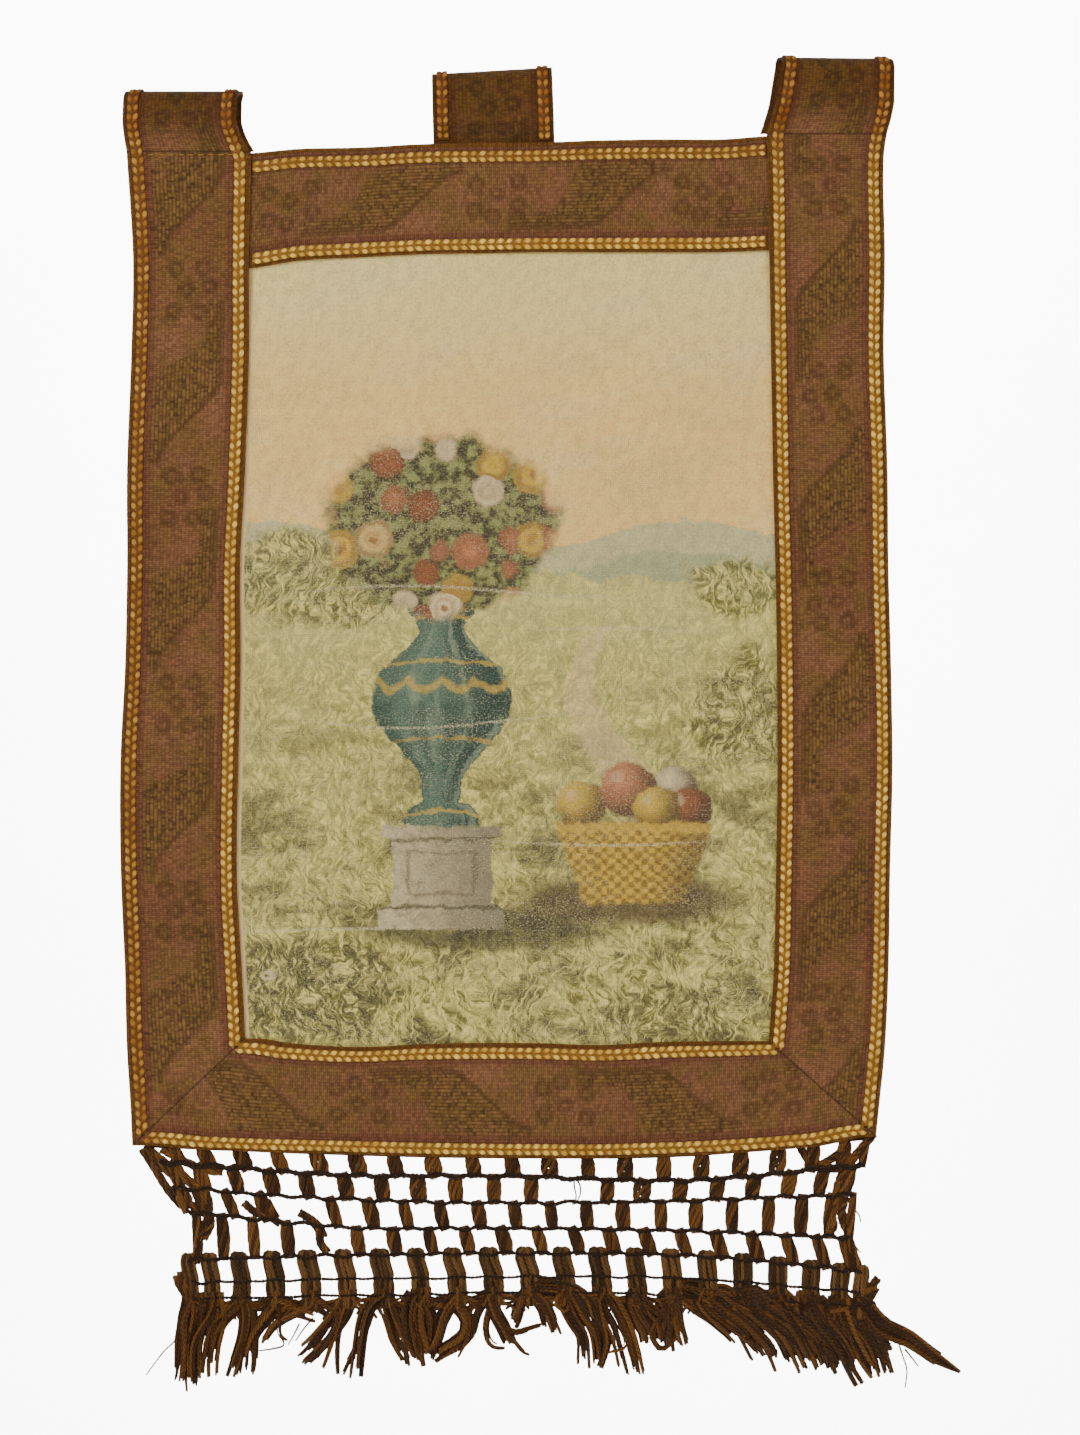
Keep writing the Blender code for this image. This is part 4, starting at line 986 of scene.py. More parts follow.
def lay_cloth(name, columns, rows, spot, flat_place, thickness, mark=None, measure=None):
    """A grid laid out over a surface by spot(across, down), thickened behind its front.

    A mark names a value that measure(across, down) gives each place for the material.
    """
    clear_selection()
    bpy.ops.mesh.primitive_grid_add(x_subdivisions=columns, y_subdivisions=rows, size=1.0)
    cloth = bpy.context.active_object
    cloth.name = name
    mesh = cloth.data
    mesh.name = name
    shares = [(corner.co.x + 0.5, 0.5 - corner.co.y) for corner in mesh.vertices]
    for corner, (across, down) in zip(mesh.vertices, shares):
        corner.co = Vector(spot(across, down)) * MM
    uv = mesh.uv_layers["UVMap"].data
    for loop in mesh.loops:
        across, down = shares[loop.vertex_index]
        place = mesh.vertices[loop.vertex_index].co / MM
        uv[loop.index].uv = [value * MM for value in flat_place(place, across, down)]
    if mark:
        values = mesh.attributes.new(mark, "FLOAT", "POINT")
        values.data.foreach_set("value", [measure(across, down) for across, down in shares])
    front_corners = len(mesh.vertices)
    bpy.ops.object.modifier_add(type="SOLIDIFY")
    thicken = cloth.modifiers[-1]
    thicken.thickness = thickness * MM
    thicken.offset = -1.0
    thicken.use_even_offset = True
    bpy.ops.object.modifier_apply(modifier=thicken.name)
    behind = mesh.attributes.new("behind", "FLOAT", "POINT")
    for index, value in enumerate(behind.data):
        value.value = 0.0 if index < front_corners else 1.0
    bpy.ops.object.shade_smooth_by_angle(angle=math.radians(50))
    return cloth


def dress(piece, material, slot, *nodes):
    """Gives a piece its material and says which solids it stands for."""
    piece.data.materials.clear()
    piece.data.materials.append(material)
    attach(piece, "root")
    if nodes:
        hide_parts(*nodes)
    return piece


class Yarns:
    """Collects round yarns and stitches into one mesh, each with its own tone."""

    def __init__(self):
        self.corners = []
        self.faces = []
        self.uvs = []
        self.tones = []

    def strand(self, points, radius, tone, sides=5):
        """A closed tube along points in mm; radius is one size or a function of the share."""
        points = [Vector(point) for point in points]
        count = len(points)
        tangents = [
            (points[min(i + 1, count - 1)] - points[max(i - 1, 0)]).normalized()
            for i in range(count)
        ]
        side = tangents[0].orthogonal().normalized()
        start = len(self.corners)
        run = 0.0
        girth = 0.0
        for i, (point, tangent) in enumerate(zip(points, tangents)):
            side = (side - tangent * side.dot(tangent)).normalized()
            up = tangent.cross(side)
            size = radius(i / (count - 1)) if callable(radius) else radius
            girth = girth or size * math.tau
            before = run
            run += (point - points[max(i - 1, 0)]).length
            for k in range(sides):
                turn = math.tau * k / sides
                offset = side * math.cos(turn) + up * math.sin(turn)
                self.corners.append((point + offset * size) * MM)
                self.tones.append(tone)
            if i:
                here = start + i * sides
                for k in range(sides):
                    j = (k + 1) % sides
                    self.faces.append((here - sides + k, here - sides + j, here + j, here + k))
                    u = k / sides * girth
                    u_next = (k + 1) / sides * girth
                    self.uvs.append(((u, before), (u_next, before), (u_next, run), (u, run)))
        last = start + (count - 1) * sides
        self.faces.append(tuple(range(start, start + sides))[::-1])
        self.uvs.append(((0.0, 0.0),) * sides)
        self.faces.append(tuple(range(last, last + sides)))
        self.uvs.append(((0.0, run),) * sides)

    def copy_shape(self, shape, matrix, tone):
        """A copy of a modelled shape, placed by a matrix in mm."""
        start = len(self.corners)
        for corner in shape.corners:
            self.corners.append((matrix @ corner) * MM)
            self.tones.append(tone)
        for face in shape.faces:
            self.faces.append(tuple(start + i for i in face))
            self.uvs.append(tuple((shape.corners[i].x, shape.corners[i].y) for i in face))

    def build(self, name):
        mesh = bpy.data.meshes.new(name)
        mesh.from_pydata(self.corners, [], self.faces)
        layer = mesh.uv_layers.new(name="UVMap")
        at = 0
        for face in self.uvs:
            for u, v in face:
                layer.data[at].uv = (u * MM, v * MM)
                at += 1
        tones = mesh.attributes.new("tone", "FLOAT", "POINT")
        tones.data.foreach_set("value", self.tones)
        mesh.shade_smooth()
        piece = bpy.data.objects.new(name, mesh)
        bpy.context.scene.collection.objects.link(piece)
        return piece


Shape = namedtuple("Shape", "corners faces")


def model_stitch(length, width, height):
    """One chain stitch of the braid: plump at its head, its tail drawn in under the next one."""
    clear_selection()
    bpy.ops.mesh.primitive_uv_sphere_add(segments=8, ring_count=6, radius=0.5)
    stitch = bpy.context.active_object
    bpy.ops.object.mode_set(mode="EDIT")
    bpy.ops.mesh.select_all(action="SELECT")
    bpy.ops.transform.rotate(
        value=math.pi / 2, orient_axis="X", center_override=(0.0, 0.0, 0.0)
    )
    bpy.ops.transform.resize(value=(width, length, height))
    bpy.ops.object.mode_set(mode="OBJECT")
    for part in (stitch.data.vertices, stitch.data.edges, stitch.data.polygons):
        part.foreach_set("select", [False] * len(part))
    for corner in stitch.data.vertices:
        corner.select = corner.co.y < -length * 0.2
    bpy.ops.object.mode_set(mode="EDIT")
    bpy.ops.mesh.select_mode(type="VERT")
    bpy.ops.transform.resize(value=(0.62, 1.0, 0.6), center_override=(0.0, 0.0, 0.0))
    bpy.ops.transform.translate(value=(0.0, -length * 0.1, -height * 0.12))
    bpy.ops.object.mode_set(mode="OBJECT")
    corners = [corner.co.copy() for corner in stitch.data.vertices]
    faces = [tuple(face.vertices) for face in stitch.data.polygons]
    bpy.data.objects.remove(stitch, do_unlink=True)
    return Shape(corners, faces)


def resample(points, count):
    """Even places along a line of points."""
    runs = [0.0]
    for a, b in zip(points, points[1:]):
        runs.append(runs[-1] + (b - a).length)
    places = []
    i = 0
    for n in range(count):
        target = runs[-1] * n / (count - 1)
        while i < len(runs) - 2 and runs[i + 1] < target:
            i += 1
        span = max(runs[i + 1] - runs[i], 1e-9)
        places.append(points[i].lerp(points[i + 1], (target - runs[i]) / span))
    return places


def smooth_path(points, count):
    """Even places along a rounded curve through a few points."""
    fine = []
    last = len(points) - 1
    for i in range(last):
        before = points[max(i - 1, 0)]
        start, end = points[i], points[i + 1]
        after = points[min(i + 2, last)]
        for k in range(8):
            t = k / 8
            fine.append(
                0.5 * (2.0 * start + (end - before) * t
                       + (2.0 * before - 5.0 * start + 4.0 * end - after) * t ** 2
                       + (3.0 * start - before - 3.0 * end + after) * t ** 3)
            )
    fine.append(points[-1])
    return resample(fine, count)


def run_length(points):
    return sum((b - a).length for a, b in zip(points, points[1:]))


# What a user would change


def length_setting(name, description, default):
    return bpy.props.FloatProperty(
        name=name, description=description, default=default * MM, min=0.0,
        subtype="DISTANCE", unit="LENGTH", precision=5,
    )


def colour_setting(name, description, default):
    return bpy.props.FloatVectorProperty(
        name=name, description=description, default=default, size=3,
        min=0.0, max=1.0, subtype="COLOR",
    )


def count_setting(name, description, default):
    return bpy.props.IntProperty(name=name, description=description, default=default, min=1)


class TapestryCloth(bpy.types.PropertyGroup):
    picture_thickness: length_setting("Picture cloth", "Thickness of the picture cloth", 1.0)
    galloon_thickness: length_setting("Galloon", "Thickness of the border strips", 1.3)
    cell: length_setting("Grid", "How far apart the cloth's points are laid", 4.0)


class TapestryBraid(bpy.types.PropertyGroup):
    pitch: length_setting("Stitch pitch", "Distance from one chain stitch to the next", 4.7)
    spread: length_setting("Row distance", "Distance between the two rows of stitches", 3.2)
    stitch_length: length_setting("Stitch length", "Length of one stitch", 4.2)
    stitch_width: length_setting("Stitch width", "Width of one stitch", 2.4)
    stitch_height: length_setting("Stitch height", "Height of one stitch", 1.6)


class TapestryYarn(bpy.types.PropertyGroup):
    yarn: length_setting("Net yarn", "Diameter of the yarns in the net's short bundles", 2.4)
    loose_yarn: length_setting("Loose yarn", "Diameter of the long bundles' yarns", 2.1)
    cord: length_setting("Cord", "Diameter of the cords that cross the net", 2.9)
    thread: length_setting("Thread", "Diameter of the thin threads below the net", 2.1)
    yarns: count_setting("Yarns in a bundle", "Number of yarns in each short bundle", 7)
    loose: count_setting("Loose yarns", "Number of yarns in each long bundle", 15)


class TapestryColours(bpy.types.PropertyGroup):
    mauve: colour_setting("Mauve brown", "Ground of the galloon", (0.155, 0.060, 0.024))
    mauve_light: colour_setting("Faded mauve", "Ground where it has faded", (0.195, 0.084, 0.034))
    purple: colour_setting("Edge mauve", "Ground beside the braids", (0.135, 0.046, 0.022))
    olive: colour_setting("Olive brown", "Leaves of the galloon", (0.145, 0.075, 0.018))
    dark: colour_setting("Dark brown", "Outlines and rosettes", (0.050, 0.021, 0.005))
    selvedge: colour_setting("Selvedge", "Narrow edge outside the braids", (0.130, 0.050, 0.006))
    gold: colour_setting("Gold", "Braid yarn", (0.720, 0.370, 0.036))
    gold_light: colour_setting("Light gold", "Braid yarn where it is bright", (1.000, 0.660, 0.120))
    gold_deep: colour_setting("Deep gold", "Ground between the stitches", (0.320, 0.138, 0.010))
    rust_deep: colour_setting("Deep rust", "Ground between the rusty stitches", (0.170, 0.050, 0.002))
    rust: colour_setting("Rust gold", "Braid yarn on the loops", (0.330, 0.095, 0.003))
    fringe: colour_setting("Fringe brown", "Darker fringe yarns", (0.034, 0.012, 0.002))
    fringe_light: colour_setting("Fringe rust", "Lighter fringe yarns", (0.190, 0.072, 0.010))
    bundle: colour_setting("Bundle brown", "Darker yarns of the long bundles", (0.040, 0.018, 0.003))
    bundle_light: colour_setting("Bundle olive", "Lighter yarns there", (0.180, 0.080, 0.018))
    thread: colour_setting("Thread", "Cords and thin threads", (0.024, 0.011, 0.003))
    sky_top: colour_setting("High sky", "Top of the picture", (0.900, 0.700, 0.250))
    sky_low: colour_setting("Low sky", "Sky above the hills", (0.980, 0.610, 0.180))
    sky_shade: colour_setting("Sky shade", "Darker drifts of the sky", (0.720, 0.520, 0.200))
    cream: colour_setting("Cream", "Clouds and pale petals", (0.840, 0.640, 0.310))
    bare: colour_setting("Bare cloth", "Margin beside the print", (0.860, 0.620, 0.270))
    fleck: colour_setting("Worn flecks", "Cloth that shows through the print", (0.900, 0.760, 0.430))
    hill: colour_setting("Far hills", "Farther ridge", (0.500, 0.480, 0.240))
    hill_near: colour_setting("Near hills", "Nearer ridge", (0.380, 0.400, 0.190))
    cream_green: colour_setting("Pale grass", "Far grass", (0.700, 0.600, 0.190))
    meadow: colour_setting("Meadow", "Light grass", (0.860, 0.725, 0.195))
    grass: colour_setting("Grass", "Middle grass", (0.460, 0.395, 0.102))
    meadow_dark: colour_setting("Grass shade", "Dark grass", (0.150, 0.130, 0.030))
    leaf: colour_setting("Leaves", "Leaves of the bouquet", (0.300, 0.300, 0.090))
    shade: colour_setting("Deep shade", "Deepest parts of the picture", (0.070, 0.060, 0.030))
    path: colour_setting("Path", "Path through the meadow", (0.800, 0.540, 0.260))
    stone: colour_setting("Stone", "Plinth in the light", (0.600, 0.470, 0.250))
    stone_shade: colour_setting("Stone shade", "Plinth in shade", (0.260, 0.210, 0.120))
    teal: colour_setting("Teal", "Urn", (0.110, 0.170, 0.110))
    teal_dark: colour_setting("Dark teal", "Urn in shade", (0.035, 0.065, 0.048))
    teal_light: colour_setting("Light teal", "Urn's lights", (0.280, 0.340, 0.210))
    mustard: colour_setting("Mustard", "Basket and rims", (0.640, 0.400, 0.050))
    mustard_dark: colour_setting("Dark mustard", "Basket in shade", (0.280, 0.160, 0.025))
    rose: colour_setting("Rose", "Rose petals", (0.520, 0.190, 0.080))
    rose_dark: colour_setting("Deep rose", "Petals in shade", (0.280, 0.090, 0.035))
    pale: colour_setting("Pale", "Fruit and daisies", (0.780, 0.640, 0.340))
    umber: colour_setting("Umber", "Dark ground", (0.090, 0.055, 0.030))


# The pieces


class TAPESTRY_OT_picture(bpy.types.Operator):
    """Lay the picture cloth behind the border strips"""

    bl_idname = "tapestry.picture"
    bl_label = "Picture Cloth"

    def execute(self, context):
        cell = context.scene.tapestry_cloth.cell / MM
        columns = round(296 / cell)
        rows = round(420 / cell)

        def spot(across, down):
            if down < 1.0 / rows:
                return picture_spot(across, lerp(-PICTURE_MARGIN, 4.0, down * rows), 0.0)
            return picture_spot(across, 4.0, (down * rows - 1.0) / (rows - 1.0))

        def flat_place(place, across, down):
            return place.x, -place.z - 78.0

        def margin(across, down):
            """Distance in from the left strip's edge."""
            x, _, z = spot(across, down)
            return x - INNER_EDGE["left"](-z)

        cloth = lay_cloth(
            "picture_cloth", columns, rows, spot, flat_place,
            context.scene.tapestry_cloth.picture_thickness / MM, "margin", margin,
        )
        dress(
            cloth, picture_material(context.scene.tapestry_colours), "picture_cloth",
            "picture_panel",
        )
        return {"FINISHED"}


class TAPESTRY_OT_border(bpy.types.Operator):
    """Lay the four border strips of patterned galloon"""

    bl_idname = "tapestry.border"
    bl_label = "Border Strips"

    def execute(self, context):
        settings = context.scene.tapestry_cloth
        thickness = settings.galloon_thickness / MM
        cell = settings.cell / MM
        finish = galloon_material("galloon", context.scene.tapestry_colours, BRIGHT)
        across_cells = round(60 / cell)
        for side, start, way in (("left", 97.0, 1.0), ("right", 150.8, -1.0)):
            length = OUTER_CORNER_DROP[side] - SEAM_DROP[side]

            def inward(across, side=side):
                return across if side == "left" else 1.0 - across

            def spot(across, down, side=side, inward=inward):
                return on_layer(side_spot(side, inward(across), down), FRONT_LAYER)

            def flat_place(place, across, down, start=start, way=way, inward=inward):
                return inward(across) * 60.0, (-place.z - start) * way

            def seam(across, down, length=length):
                return min(down, (1.0 - down) * MITRE_SLOPE) * length

            strip = lay_cloth(
                f"{side}_galloon", across_cells, round(length / cell), spot, flat_place,
                thickness, "seam", seam,
            )
            dress(strip, finish, "galloon", f"side_strip_{side}")
        bottom = lay_cloth(
            "bottom_galloon", round(388 / cell), across_cells,
            lambda across, down: on_layer(hem_spot(down, across), FRONT_LAYER),
            lambda place, across, down: ((1.0 - down) * 60.0, place.x + 77.5),
            thickness, "seam",
            lambda across, down: min(across, 1.0 - across) * 340.0 * MITRE_SLOPE,
        )
        dress(bottom, finish, "galloon", "bottom_strip")
        top = lay_cloth(
            "top_galloon", round(288 / cell), across_cells,
            lambda across, down: on_layer(top_spot(down, across), SECOND_LAYER),
            lambda place, across, down: (down * 60.0, place.x + 113.0),
            thickness, "seam", lambda across, down: 50.0,
        )
        dress(top, finish, "galloon", "top_strip")
        return {"FINISHED"}


class TAPESTRY_OT_loops(bpy.types.Operator):
    """Fold the three hanging loops of galloon"""

    bl_idname = "tapestry.loops"
    bl_label = "Hanging Loops"

    def execute(self, context):
        finish = galloon_material("dark_galloon", context.scene.tapestry_colours, LOOP_CAST)
        for tab in TABS:
            outlines = {}
            rows = 64

            def spot(across, down, tab=tab, outlines=outlines, rows=rows):
                key = round(across, 4)
                if key not in outlines:
                    outlines[key] = resample(loop_outline(tab, across, LOOP_WALL), rows + 1)
                return outlines[key][round((1.0 - down) * rows)]

            length = run_length(loop_outline(tab, 0.5, LOOP_WALL))

            def flat_place(place, across, down, tab=tab, length=length):
                return across * 60.0, 30.0 - (1.0 - down) * length

            def seam(across, down, tab=tab, length=length):
                """Distance from the seam at the front, which the top strip hides on the centre loop."""
                return (1.0 - down) * length + (CAST_REACH if tab.name == "centre" else 0.0)

            loop = lay_cloth(
                f"{tab.name}_loop", 15, rows, spot, flat_place, LOOP_WALL - 0.1, "seam", seam
            )
            dress(loop, finish, "dark_galloon", f"tab_{tab.name}")
            width = (tab.waist_right - tab.waist_left + tab.seam_right - tab.seam_left) / 2
            width * MM
        self.stitch_seam(context.scene.tapestry_colours)
        return {"FINISHED"}

    def stitch_seam(self, looks):
        """The row of light running stitches across the left strip's seam."""
        yarns = Yarns()
        length = OUTER_CORNER_DROP["left"] - SEAM_DROP["left"]
        for number in range(9):
            points = []
            for reach in (0.0, 0.5, 1.0):
                across = (10.5 + number * 4.8 + reach * 2.7) / 60.0
                x, y, z = on_layer(side_spot("left", across, 1.8 / length), FRONT_LAYER)
                points.append((x, y - 0.1 - 0.3 * math.sin(math.pi * reach), z))
            yarns.strand(points, 0.32, 0.45)
        dress(yarns.build("seam_stitches"), yarn_material("seam_thread", looks.olive, looks.gold),
              "dark_galloon")


class TAPESTRY_OT_braid(bpy.types.Operator):
    """Stitch the rows of gold chain braid along the strips and over the loops"""

    bl_idname = "tapestry.braid"
    bl_label = "Gold Braid"

    def execute(self, context):
        settings = context.scene.tapestry_braid
        self.pitch = settings.pitch / MM
        self.half = settings.spread / MM / 2
        self.stitch = model_stitch(
            settings.stitch_length / MM, settings.stitch_width / MM, settings.stitch_height / MM
        )
        self.finish = gold_material(context.scene.tapestry_colours)
        self.noise = random.Random(5)
        for side, tab in (("left", TABS[0]), ("right", TABS[2])):
            for edge in ("outer", "inner"):
                self.side_braid(side, edge, tab)
        for name, spot, layer, edge_first, inset, tuck in (
            ("top_upper", top_spot, SECOND_LAYER, True, TOP_UPPER_INSET, 9.2),
            ("top_lower", top_spot, SECOND_LAYER, False, TOP_LOWER_INSET, 9.2),
            ("bottom_inner", hem_spot, FRONT_LAYER, True, BRAID_INSET, 1.6),
            ("bottom_outer", hem_spot, FRONT_LAYER, False, HEM_INSET, 1.6),
        ):
            self.level_braid(name, spot, layer, edge_first, inset, tuck)
        tab = TABS[1]
        width = tab.waist_right - tab.waist_left
        for edge, first in (("left", True), ("right", False)):
            rails = [self.loop_rail(tab, width, first, offset, 2) for offset in self.offsets()]
            self.stitch_braid(f"centre_{edge}", rails if first else rails[::-1])
        return {"FINISHED"}

    def offsets(self, inset=BRAID_INSET):
        return inset - self.half, inset + self.half

    def loop_rail(self, tab, width, edge_first, offset, first_place):
        across = offset / width if edge_first else 1.0 - offset / width
        return loop_outline(tab, across, LOOP_WALL + BRAID_LIFT)[first_place:]

    def side_braid(self, side, edge, tab):
        """Up a side strip from the mitre, over its loop and down behind."""
        strip_width = abs(OUTER_EDGE[side](250) - INNER_EDGE[side](250))
        tab_width = tab.waist_right - tab.waist_left
        length = OUTER_CORNER_DROP[side] - SEAM_DROP[side]
        strip_first = edge == "outer"
        tab_first = strip_first == (side == "left")
        rails = []
        for offset in self.offsets():
            across = offset / strip_width if strip_first else 1.0 - offset / strip_width
            count = 130
            rail = []
            for i in range(count):
                along = lerp(1.0 - BRAID_END_GAP / length, 0.0, i / count)
                x, y, z = on_layer(side_spot(side, across, along), FRONT_LAYER)
                rail.append(Vector((x, y - BRAID_LIFT, z)))
            rails.append(rail + self.loop_rail(tab, tab_width, tab_first, offset, 1))
        if not tab_first:
            rails = rails[::-1]
        self.stitch_braid(f"{side}_{edge}", rails)

    def level_braid(self, name, spot, layer, edge_first, inset, tuck):
        """Along a level strip from left to right."""
        length = (spot(0.0, 1.0)[0] - spot(0.0, 0.0)[0])
        rails = []
        for offset in self.offsets(inset):
            share = offset / LEVEL_STRIP_WIDTH
            across = share if edge_first else 1.0 - share
            rail = []
            for i in range(131):
                along = lerp(tuck / length, 1.0 - tuck / length, i / 130)
                x, y, z = on_layer(spot(across, along), layer)
                rail.append(Vector((x, y - BRAID_LIFT, z)))
            rails.append(rail)
        self.stitch_braid(name, rails if edge_first else rails[::-1])

    def stitch_braid(self, name, rails):
        """Two rows of stitches along a pair of rails; the cloth's front is on the left."""
        count = round((run_length(rails[0]) + run_length(rails[1])) / 2 / self.pitch)
        fine = count * STITCH_STEPS + 1
        rails = [resample(rail, fine) for rail in rails]
        yarns = Yarns()
        band = []
        for i in range(fine):
            ahead = min(i + 1, fine - 1)
            behind = max(i - 1, 0)
            middle = (rails[0][i] + rails[1][i]) / 2
            tangent = (rails[0][ahead] + rails[1][ahead] - rails[0][behind] - rails[1][behind])
            tangent.normalize()
            across = rails[1][i] - rails[0][i]
            across = (across - tangent * across.dot(tangent)).normalized()
            out = across.cross(tangent)
            band.append((middle, across, tangent, out))
            if i % STITCH_STEPS == STITCH_STEPS // 2:
                for number, lean in ((0, 1.0), (1, -1.0)):
                    swing = self.noise.uniform(11.0, 23.0) * lean
                    spin = Matrix.Rotation(math.radians(swing), 3, "Z")
                    basis = Matrix((across, tangent, out)).transposed() @ spin
                    size = self.noise.uniform(0.90, 1.10)
                    squash = Matrix.Diagonal((1.0, 1.0, 1.0 - 0.45 * max(out.z, 0.0)))
                    place = rails[number][i] + out * 0.45
                    matrix = Matrix.Translation(place) @ (basis @ squash * size).to_4x4()
                    yarns.copy_shape(self.stitch, matrix, self.noise.uniform(0.0, 1.0))
        self.add_band(yarns, band)
        piece = yarns.build(f"gold_{name}")
        dress(piece, self.finish, "gold_braid", f"braid_{name}")

    def add_band(self, yarns, band):
        """The flat base that the stitches stand on."""
        start = len(yarns.corners)
        half = self.half + 1.3
        for middle, across, _, out in band[::2]:
            for side, lift in ((-half, -0.05), (half, -0.05), (half - 0.3, 0.45), (0.3 - half, 0.45)):
                yarns.corners.append((middle + across * side + out * lift) * MM)
                yarns.tones.append(-0.3)
        rings = len(band[::2])
        for r in range(rings - 1):
            here = start + r * 4
            for k in range(4):
                j = (k + 1) % 4
                yarns.faces.append((here + k, here + 4 + k, here + 4 + j, here + j))
                yarns.uvs.append(((k, r), (k, r + 1), (k + 1, r + 1), (k + 1, r)))
        yarns.faces.append((start, start + 1, start + 2, start + 3))
        last = start + (rings - 1) * 4
        yarns.faces.append((last + 3, last + 2, last + 1, last))
        yarns.uvs += [((0, 0),) * 4] * 2


class TAPESTRY_OT_fringe(bpy.types.Operator):
    """Knot the net fringe and hang its loose tassels"""

    bl_idname = "tapestry.fringe"
    bl_label = "Net Fringe"

    def execute(self, context):
        looks = context.scene.tapestry_colours
        self.sizes = context.scene.tapestry_yarn
        self.noise = random.Random(29)
        yarn = yarn_material("fringe_yarn", looks.fringe, looks.fringe_light)
        bundle = yarn_material("bundle_yarn", looks.bundle, looks.bundle_light)
        thread = yarn_material("dark_thread", looks.thread, looks.fringe)
        for piece, finish in (
            (self.make_net(), yarn),
            (self.make_cords(), thread),
            (self.make_long_bundles(), bundle),
            (self.make_locks(), yarn),
        ):
            dress(piece, finish, "fringe_yarn", "fringe")
        return {"FINISHED"}

    def twist(self, yarns, path, count, reach_x, reach_y, radius, turns, narrow=1.0):
        """Yarns laid in an oval round a path and twisted, drawn in at its ends, with a core."""
        begin = self.noise.uniform(0, math.tau)
        last = len(path) - 1
        sides = []
        for k in range(last + 1):
            ahead = path[min(k + 1, last)] - path[max(k - 1, 0)]
            sides.append(Vector((ahead.z, 0.0, -ahead.x)).normalized())
        for n in range(count):
            angle = begin + math.tau * n / count
            points = []
            for k, at in enumerate(path):
                t = k / last
                a = angle + turns * math.tau * t
                plump = narrow + (1.0 - narrow) * max(math.sin(math.pi * t), 0.0) ** 0.7
                points.append(
                    at + sides[k] * (math.cos(a) * reach_x * plump)
                    + Vector((0.0, math.sin(a) * reach_y * plump, 0.0))
                )
            yarns.strand(points, radius, self.noise.uniform(0.0, 1.0))
        for way in (-0.45, 0.45):
            points = [at + sides[k] * (way * reach_x * 0.8) for k, at in enumerate(path)]
            yarns.strand(points, max(reach_y * 0.8, 0.5), 0.1)

    def make_net(self):
        """Four rows of short bundles, the tangled yarns and the heading sewn behind the hem."""
        yarns = Yarns()
        radius = self.sizes.yarn / MM / 2
        lines = [HEADING] + NET_BARS
        for row in range(1, 5):
            for i, place in enumerate(row_places(row)):
                if (row, i) in TORN_BUNDLES:
                    continue
                narrowing = 1.0 - END_NARROWING * abs(place) ** END_CROWDING_POWER
                ends = []
                for line, shift in ((lines[row - 1], 1.0 if row > 1 else -2.0), (lines[row], -1.0)):
                    x = line_x(line, place)
                    z = line_z(line, x) + shift
                    ends.append(Vector((x, net_middle(x, z), z)))
                width = BUNDLE_WIDTHS[row] * narrowing * self.noise.uniform(1.22, 1.52)
                bow = self.noise.uniform(-0.8, 0.8)
                path = [
                    ends[0].lerp(ends[1], k / 9) + Vector((bow * math.sin(math.pi * k / 9), 0, 0))
                    for k in range(10)
                ]
                self.twist(
                    yarns, path, self.sizes.yarns, width / 2 - radius,
                    BUNDLE_DEPTH / 2 - radius * 0.6, radius,
                    self.noise.uniform(0.3, 0.6), narrow=0.55,
                )
        for course in END_YARNS:
            path = self.course_path(course, 0.0, 18)
            self.twist(yarns, path, 5, 1.6, 1.1, 0.9, self.noise.uniform(1.0, 2.0))
        for shift in range(5):
            points = []
            for k in range(95):
                x = lerp(HEADING.x_left, HEADING.x_right, k / 94)
                z = line_z(HEADING, x) + 3.4 - shift * 1.5
                points.append((x, net_middle(x, z), z))
            yarns.strand(points, 0.95, 0.3, sides=6)
        return yarns.build("fringe_net")

    def course_path(self, course, back, count):
        """A smooth path over (x, drop) places, at the net's depth."""
        points = [Vector((x, net_middle(x, -drop) + back, -drop)) for x, drop in course]
        return smooth_path(points, count)

    def make_cords(self):
        """The cords and thin threads that cross the net."""
        yarns = Yarns()
        cord = self.sizes.cord / MM / 2
        thread = self.sizes.thread / MM / 2
        for number, line in enumerate(NET_BARS):
            pull = 0.75 if number % 2 == 0 else -0.75
            self.lay_cord(yarns, line, cord * (1.3 if number == 0 else 1.0), pull, -1.3)
        for line in NET_THREADS:
            self.lay_cord(yarns, line, thread, 0.3, -1.6)
        return yarns.build("fringe_cords")

    def lay_cord(self, yarns, line, radius, pull, forward):
        """Two plies twisted along a net line, which the bundles pull up and down."""
        steps = 14 * (BUNDLES - 1)
        for ply in range(2):
            points = []
            for k in range(steps + 1):
                place = lerp(-1.0, 1.0, k / steps)
                x = line_x(line, place)
                wave = pull * math.cos(math.pi * (place + 1.0) * (BUNDLES - 1))
                z = line_z(line, x) + wave + noise.noise(Vector((x / 9.0, line.drop_middle, 0.0)))
                a = math.pi * ply + x * 1.5
                points.append((
                    x,
                    net_middle(x, z) + forward + math.cos(a) * radius * 0.5,
                    z + math.sin(a) * radius * 0.5,
                ))
            yarns.strand(points, radius * 0.58, 0.4)

    def bundle_foot(self, number, line):
        """Where a long bundle crosses a net line."""
        x = line_x(line, row_places(5)[number])
        z = line_z(line, x)
        return Vector((x, net_middle(x, z), z))

